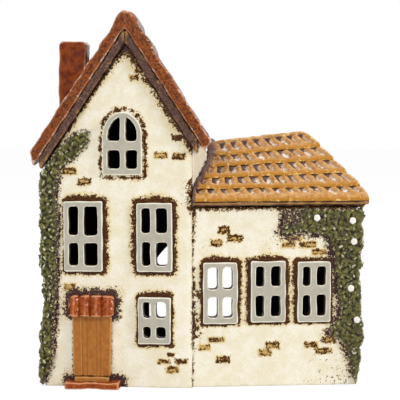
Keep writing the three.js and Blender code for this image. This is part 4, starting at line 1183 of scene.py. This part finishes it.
class HOUSE_OT_doorway(bpy.types.Operator):
    """Door with its canopy, sill and step"""

    bl_idname = "house.doorway"
    bl_label = "Doorway"

    def execute(self, context):
        c = context.scene.house_glazes
        grid = context.scene.house_clay.trim_grid / MM
        wood = plain_glaze("door_glaze", c.door, c.door_shade, c.door_rim, c.door_pool, 2.5)
        clay = plain_glaze("terracotta_glaze", c.terracotta, c.terracotta_shade, c.terracotta_rim,
                           c.terracotta_pool, 1.6, 0.12)
        for node, slot, glaze, rounds in (
            ("door", "door_glaze", wood, 10), ("door_sill", "door_glaze", wood, 5),
            ("door_canopy", "terracotta_glaze", clay, 24), ("door_step", "terracotta_glaze", clay, 24),
        ):
            piece = soft_copy("glazed_" + node, node, grid, rounds)
            if node == "door_canopy":
                self.work_lobes(piece)
            elif node == "door_step":
                self.work_step(piece)
            elif node == "door":
                self.taper(piece)
            else:
                self.seat(piece)
            wobble(piece, 3.0, 0.3)
            dress(piece, [node], glaze)
        return {"FINISHED"}

    def taper(self, piece):
        """Narrows the door a little toward its foot."""
        points = vertices(piece)
        x, z = points[:, 0], points[:, 2]
        middle = (x.min() + x.max()) / 2
        points[:, 0] = middle + (x - middle) * (1 - 0.06 * (z.max() - z) / (z.max() - z.min()))
        move(piece, points)

    def seat(self, piece):
        """Lets the sill down onto the step."""
        points = vertices(piece)
        z = points[:, 2]
        points[:, 2] -= 0.8 * MM * (1 - smooth(z / MM, 4.2, 5.2))
        move(piece, points)

    def work_step(self, piece):
        """Presses the step's middle down, so that both its ends stand up round."""
        points = vertices(piece)
        x, z = points[:, 0], points[:, 2]
        across = np.abs((x - x.min()) / (x.max() - x.min()) * 2 - 1)
        points[:, 2] -= z * 0.12 * (1 - smooth(across, 0.45, 0.9))
        move(piece, points)

    def work_lobes(self, piece):
        """Works the canopy's four round tiles, each high on its left and sinking to its right."""
        points = vertices(piece)
        x = points[:, 0] / MM
        lobe = np.clip(np.searchsorted(LOBES, x) - 1, 0, 3)
        starts, ends = np.array(LOBES[:-1])[lobe], np.array(LOBES[1:])[lobe]
        across = np.clip((x - starts) / (ends - starts), 0, 1)
        tall = 1.5 * np.sin(pi * across**0.7) ** 0.7 - 0.7
        facing = smooth(-normals(piece)[:, 1], 0.3, 0.8)
        points[:, 1] -= tall * facing * MM
        z = points[:, 2]
        up = (z - z.min()) / (z.max() - z.min())
        out = np.abs((x - x.min()) / (x.max() - x.min()) * 2 - 1)
        points[:, 2] += (0.5 * np.sin(pi * across) - 1.2 - 1.3 * out**12) * smooth(up, 0.5, 1.0) * MM
        points[:, 2] += 1.2 * out**12 * (1 - smooth(up, 0, 0.4)) * MM
        move(piece, points)


# How far the ivy stands out at its outer edge: height, then bulge, and so on up
IVY_OUTLINE = {
    "ivy_left": (1, 0.2, 6, 1.8, 16, 1.0, 27, 0.4, 34, -0.3, 43, -1.3, 50, -0.8, 54, -0.9, 62, 0.6, 72, 0.4,
                 79, -0.1, 83, 1.0, 88, 0.1, 97, 0.6, 101, 0.7, 112, -0.3),
    "ivy_right": (2, -1.5, 7, -0.7, 13, 0.6, 19, -0.3, 24, 1.9, 31, 1.0, 36, 0.1, 40, 0.4, 50, -0.1, 58, -1.4,
                  62, 1.1, 66, -0.2, 74, 1.2, 80, 0.9, 83, 0.1, 86, 1.6, 89, 0.6, 92, 0.2),
}
IVY_EDGE = {"ivy_left": (75, 78), "ivy_right": (76, 80)}  # row x from which the bulge begins, and is full
IVY_SEED = 5  # noise_vector starts from the clock where no seed is set


class HOUSE_OT_ivy(bpy.types.Operator):
    """Ivy on both outer corners: sheets of clay worked into small leaves"""

    bl_idname = "house.ivy"
    bl_label = "Ivy"

    def execute(self, context):
        noise.seed_set(IVY_SEED)
        glaze = ivy_glaze(context.scene.house_glazes)
        grid = context.scene.house_clay.ivy_grid / MM
        for node, front, way in (("ivy_left", TOWER, 1), ("ivy_right", WING, -1)):
            piece = soft_copy("glazed_" + node, node, grid, 2)
            pinch(piece)
            points = vertices(piece)
            outline = IVY_OUTLINE[node]
            outer = smooth(np.abs(points[:, 0]) / MM, *IVY_EDGE[node])
            points[:, 0] -= way * outer * np.interp(points[:, 2] / MM, outline[::2], outline[1::2]) * MM
            lump = np.array([self.leaf_height(Vector(p) / MM) for p in points])
            move(piece, points)
            move(piece, points + normals(piece) * (lump * MM)[:, None])
            if node == "ivy_right":
                points = vertices(piece)
                points[:, 2] += EAVE_LIFT * MM * smooth(points[:, 2] / MM, 82, 88)
                move(piece, points)
            place = front.local(points)
            purple = self.border(place, way) * np.where(place[:, 2] > 113, 0.4, 1)
            if node == "ivy_right":
                under_eave = smooth(place[:, 2], 81, 84) * (1 - smooth(place[:, 0], 54, 60))
                purple = np.maximum(purple, under_eave * 0.8)
            paint(piece, "purple", purple)
            dress(piece, [node], glaze)
        return {"FINISHED"}

    def leaf_height(self, p):
        """Height of the leaves at a point, in millimetres: flat scales, each tilted its own way."""
        height = -0.45
        for size, tall in ((3.6, 1.2), (1.9, 0.5)):
            spot = (p + noise.noise_vector(p / 3.0) * 2.2) / size
            away, centres = noise.voronoi(spot)
            tilt = noise.cell_vector(centres[0] * 91.0)
            plateau = min((away[1] - away[0]) / 0.3, 1.0)
            height += tall * plateau * (0.55 + 0.9 * (spot - centres[0]).dot(tilt) + 0.3 * tilt.x)
        return height

    def border(self, place, way):
        """Purple along the ivy's inner edge: 1 there and 0 from a few millimetres in."""
        x, y, z = place.T
        bins = np.clip((z / 1.5).astype(int), 0, 99)
        edge = np.full(100, -1e3)
        np.maximum.at(edge, bins, x * way)
        edge = (edge[np.clip(bins - 1, 0, 99)] + edge[bins] + edge[np.clip(bins + 1, 0, 99)]) / 3
        return 1.0 - (edge - x * way).clip(0) / 2.0


class HOUSE_OT_flowers(bpy.types.Operator):
    """Small white flowers in the right ivy"""

    bl_idname = "house.flowers"
    bl_label = "Flowers"

    def execute(self, context):
        c = context.scene.house_glazes
        glaze = plain_glaze("flower_glaze", c.flower, c.flower_shade, c.flower, c.flower_shade, 1.5)
        for i in range(1, FLOWERS + 1):
            node = "flower_%d" % i
            low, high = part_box(node)
            middle = (low + high) / 2
            bm = bmesh.new()
            bmesh.ops.create_icosphere(bm, subdivisions=4, radius=1.0)
            for vert in bm.verts:
                angle = np.arctan2(vert.co.z, vert.co.x)
                lobes = 1 + 0.05 * cos(5 * angle + i)
                vert.co.x *= lobes
                vert.co.z *= lobes
            size = (high - low) / 2
            place = Matrix.Translation(middle) @ Matrix.Diagonal((size.x, size.y, size.z, 1))
            piece = new_piece("glazed_" + node, bm, place)
            dress(piece, [node], glaze)
        return {"FINISHED"}


class HOUSE_OT_studio(bpy.types.Operator):
    """White studio: camera, lamps, floor and sky"""

    bl_idname = "house.studio"
    bl_label = "Studio"

    def execute(self, context):
        studio = context.scene.house_studio
        self.camera(context, studio)
        for name, place, size, power in (
            ("key_lamp", (-0.5, -0.85, 0.7), 0.18, studio.key),
            ("fill_lamp", (0.95, -0.5, 0.45), 0.18, studio.fill),
            ("top_lamp", (0.1, -0.1, 1.0), 0.3, studio.fill * 0.5),
        ):
            self.lamp(name, place, size, power)
        self.sky(context, studio)
        self.floor()
        context.scene.view_settings.view_transform = "Standard"
        return {"FINISHED"}

    def camera(self, context, studio):
        """The camera that matches the photo."""
        camera = bpy.data.objects.new("camera", bpy.data.cameras.new("camera"))
        context.scene.collection.objects.link(camera)
        camera.data.lens = studio.lens
        camera.data.sensor_width = 36
        camera.data.clip_start = 0.01
        camera.location = studio.camera_place
        way = Vector(studio.camera_target) - Vector(studio.camera_place)
        camera.rotation_euler = way.to_track_quat("-Z", "Y").to_euler()
        context.scene.camera = camera

    def lamp(self, name, place, size, power):
        """A square lamp that faces the house."""
        light = bpy.data.lights.new(name, "AREA")
        light.energy = power
        light.size = size
        lamp = bpy.data.objects.new(name, light)
        lamp.location = place
        lamp.rotation_euler = (Vector((0, 0, 0.09)) - Vector(place)).to_track_quat("-Z", "Y").to_euler()
        bpy.context.scene.collection.objects.link(lamp)

    def sky(self, context, studio):
        """White where it is seen or mirrored, and dimmer as light."""
        world = bpy.data.worlds.new("sky")
        context.scene.world = world
        world.use_nodes = True
        tree = Nodes(world.node_tree)
        kinds = ("Camera", "Glossy", "Transmission")
        camera, glossy, through = (
            tree.node("ShaderNodeLightPath", output="Is %s Ray" % kind) for kind in kinds)
        seen = camera.over(glossy.over(through))
        strength = tree.node("ShaderNodeMapRange", {}, {"Value": seen, "To Min": studio.sky, "To Max": 1.0})
        white = tree.node("ShaderNodeBackground", {}, {"Color": (1, 1, 1, 1), "Strength": strength})
        tree.node("ShaderNodeOutputWorld", {}, {"Surface": white})

    def floor(self):
        """A floor that looks white and still takes shadows."""
        bm = bmesh.new()
        bmesh.ops.create_grid(bm, x_segments=2, y_segments=2, size=4.0)
        floor = new_piece("studio_floor", bm)
        g = Glaze("studio_floor")
        path = g.node("ShaderNodeLightPath", output="Is Camera Ray")
        plain = g.node("ShaderNodeBsdfDiffuse", {}, {"Color": (0.8, 0.8, 0.8, 1)})
        dim = g.node("ShaderNodeBsdfDiffuse", {}, {"Color": (0.3, 0.3, 0.3, 1)})
        glow = g.node("ShaderNodeEmission", {}, {"Color": (1, 1, 1, 1), "Strength": 0.8})
        shown = g.node("ShaderNodeAddShader", {}, {0: dim, 1: glow})
        both = g.node("ShaderNodeMixShader", {}, {0: path, 1: plain, 2: shown})
        g.node("ShaderNodeOutputMaterial", {}, {"Surface": both})
        floor.data.materials.append(g.material)
        floor.location.z = -0.0002


class HOUSE_PT_panel(bpy.types.Panel):
    """Lists the house's pieces"""

    bl_idname = "HOUSE_PT_panel"
    bl_label = "Tea Light House"
    bl_space_type = "VIEW_3D"
    bl_region_type = "UI"
    bl_category = "Tea Light House"

    def draw(self, context):
        for operator in OPERATORS:
            self.layout.operator(operator.bl_idname)


OPERATORS = (
    HOUSE_OT_studio, HOUSE_OT_walls, HOUSE_OT_windows, HOUSE_OT_linings, HOUSE_OT_tower_roof,
    HOUSE_OT_wing_tiles, HOUSE_OT_chimney, HOUSE_OT_doorway, HOUSE_OT_ivy, HOUSE_OT_flowers,
)
GROUPS = {"house_glazes": HouseGlazes, "house_clay": HouseClay, "house_studio": HouseStudio}


def register():
    for cls in (*GROUPS.values(), *OPERATORS, HOUSE_PT_panel):
        bpy.utils.register_class(cls)
    for name, group in GROUPS.items():
        setattr(bpy.types.Scene, name, bpy.props.PointerProperty(type=group))


def unregister():
    for name in GROUPS:
        delattr(bpy.types.Scene, name)
    for cls in (HOUSE_PT_panel, *reversed(OPERATORS), *GROUPS.values()):
        bpy.utils.unregister_class(cls)


def main():
    register()
    bpy.ops.house.studio()
    bpy.ops.house.walls()
    bpy.ops.house.windows()
    bpy.ops.house.linings()
    bpy.ops.house.tower_roof()
    bpy.ops.house.wing_tiles()
    bpy.ops.house.chimney()
    bpy.ops.house.doorway()
    bpy.ops.house.ivy()
    bpy.ops.house.flowers()


if __name__ == "__main__":
    main()
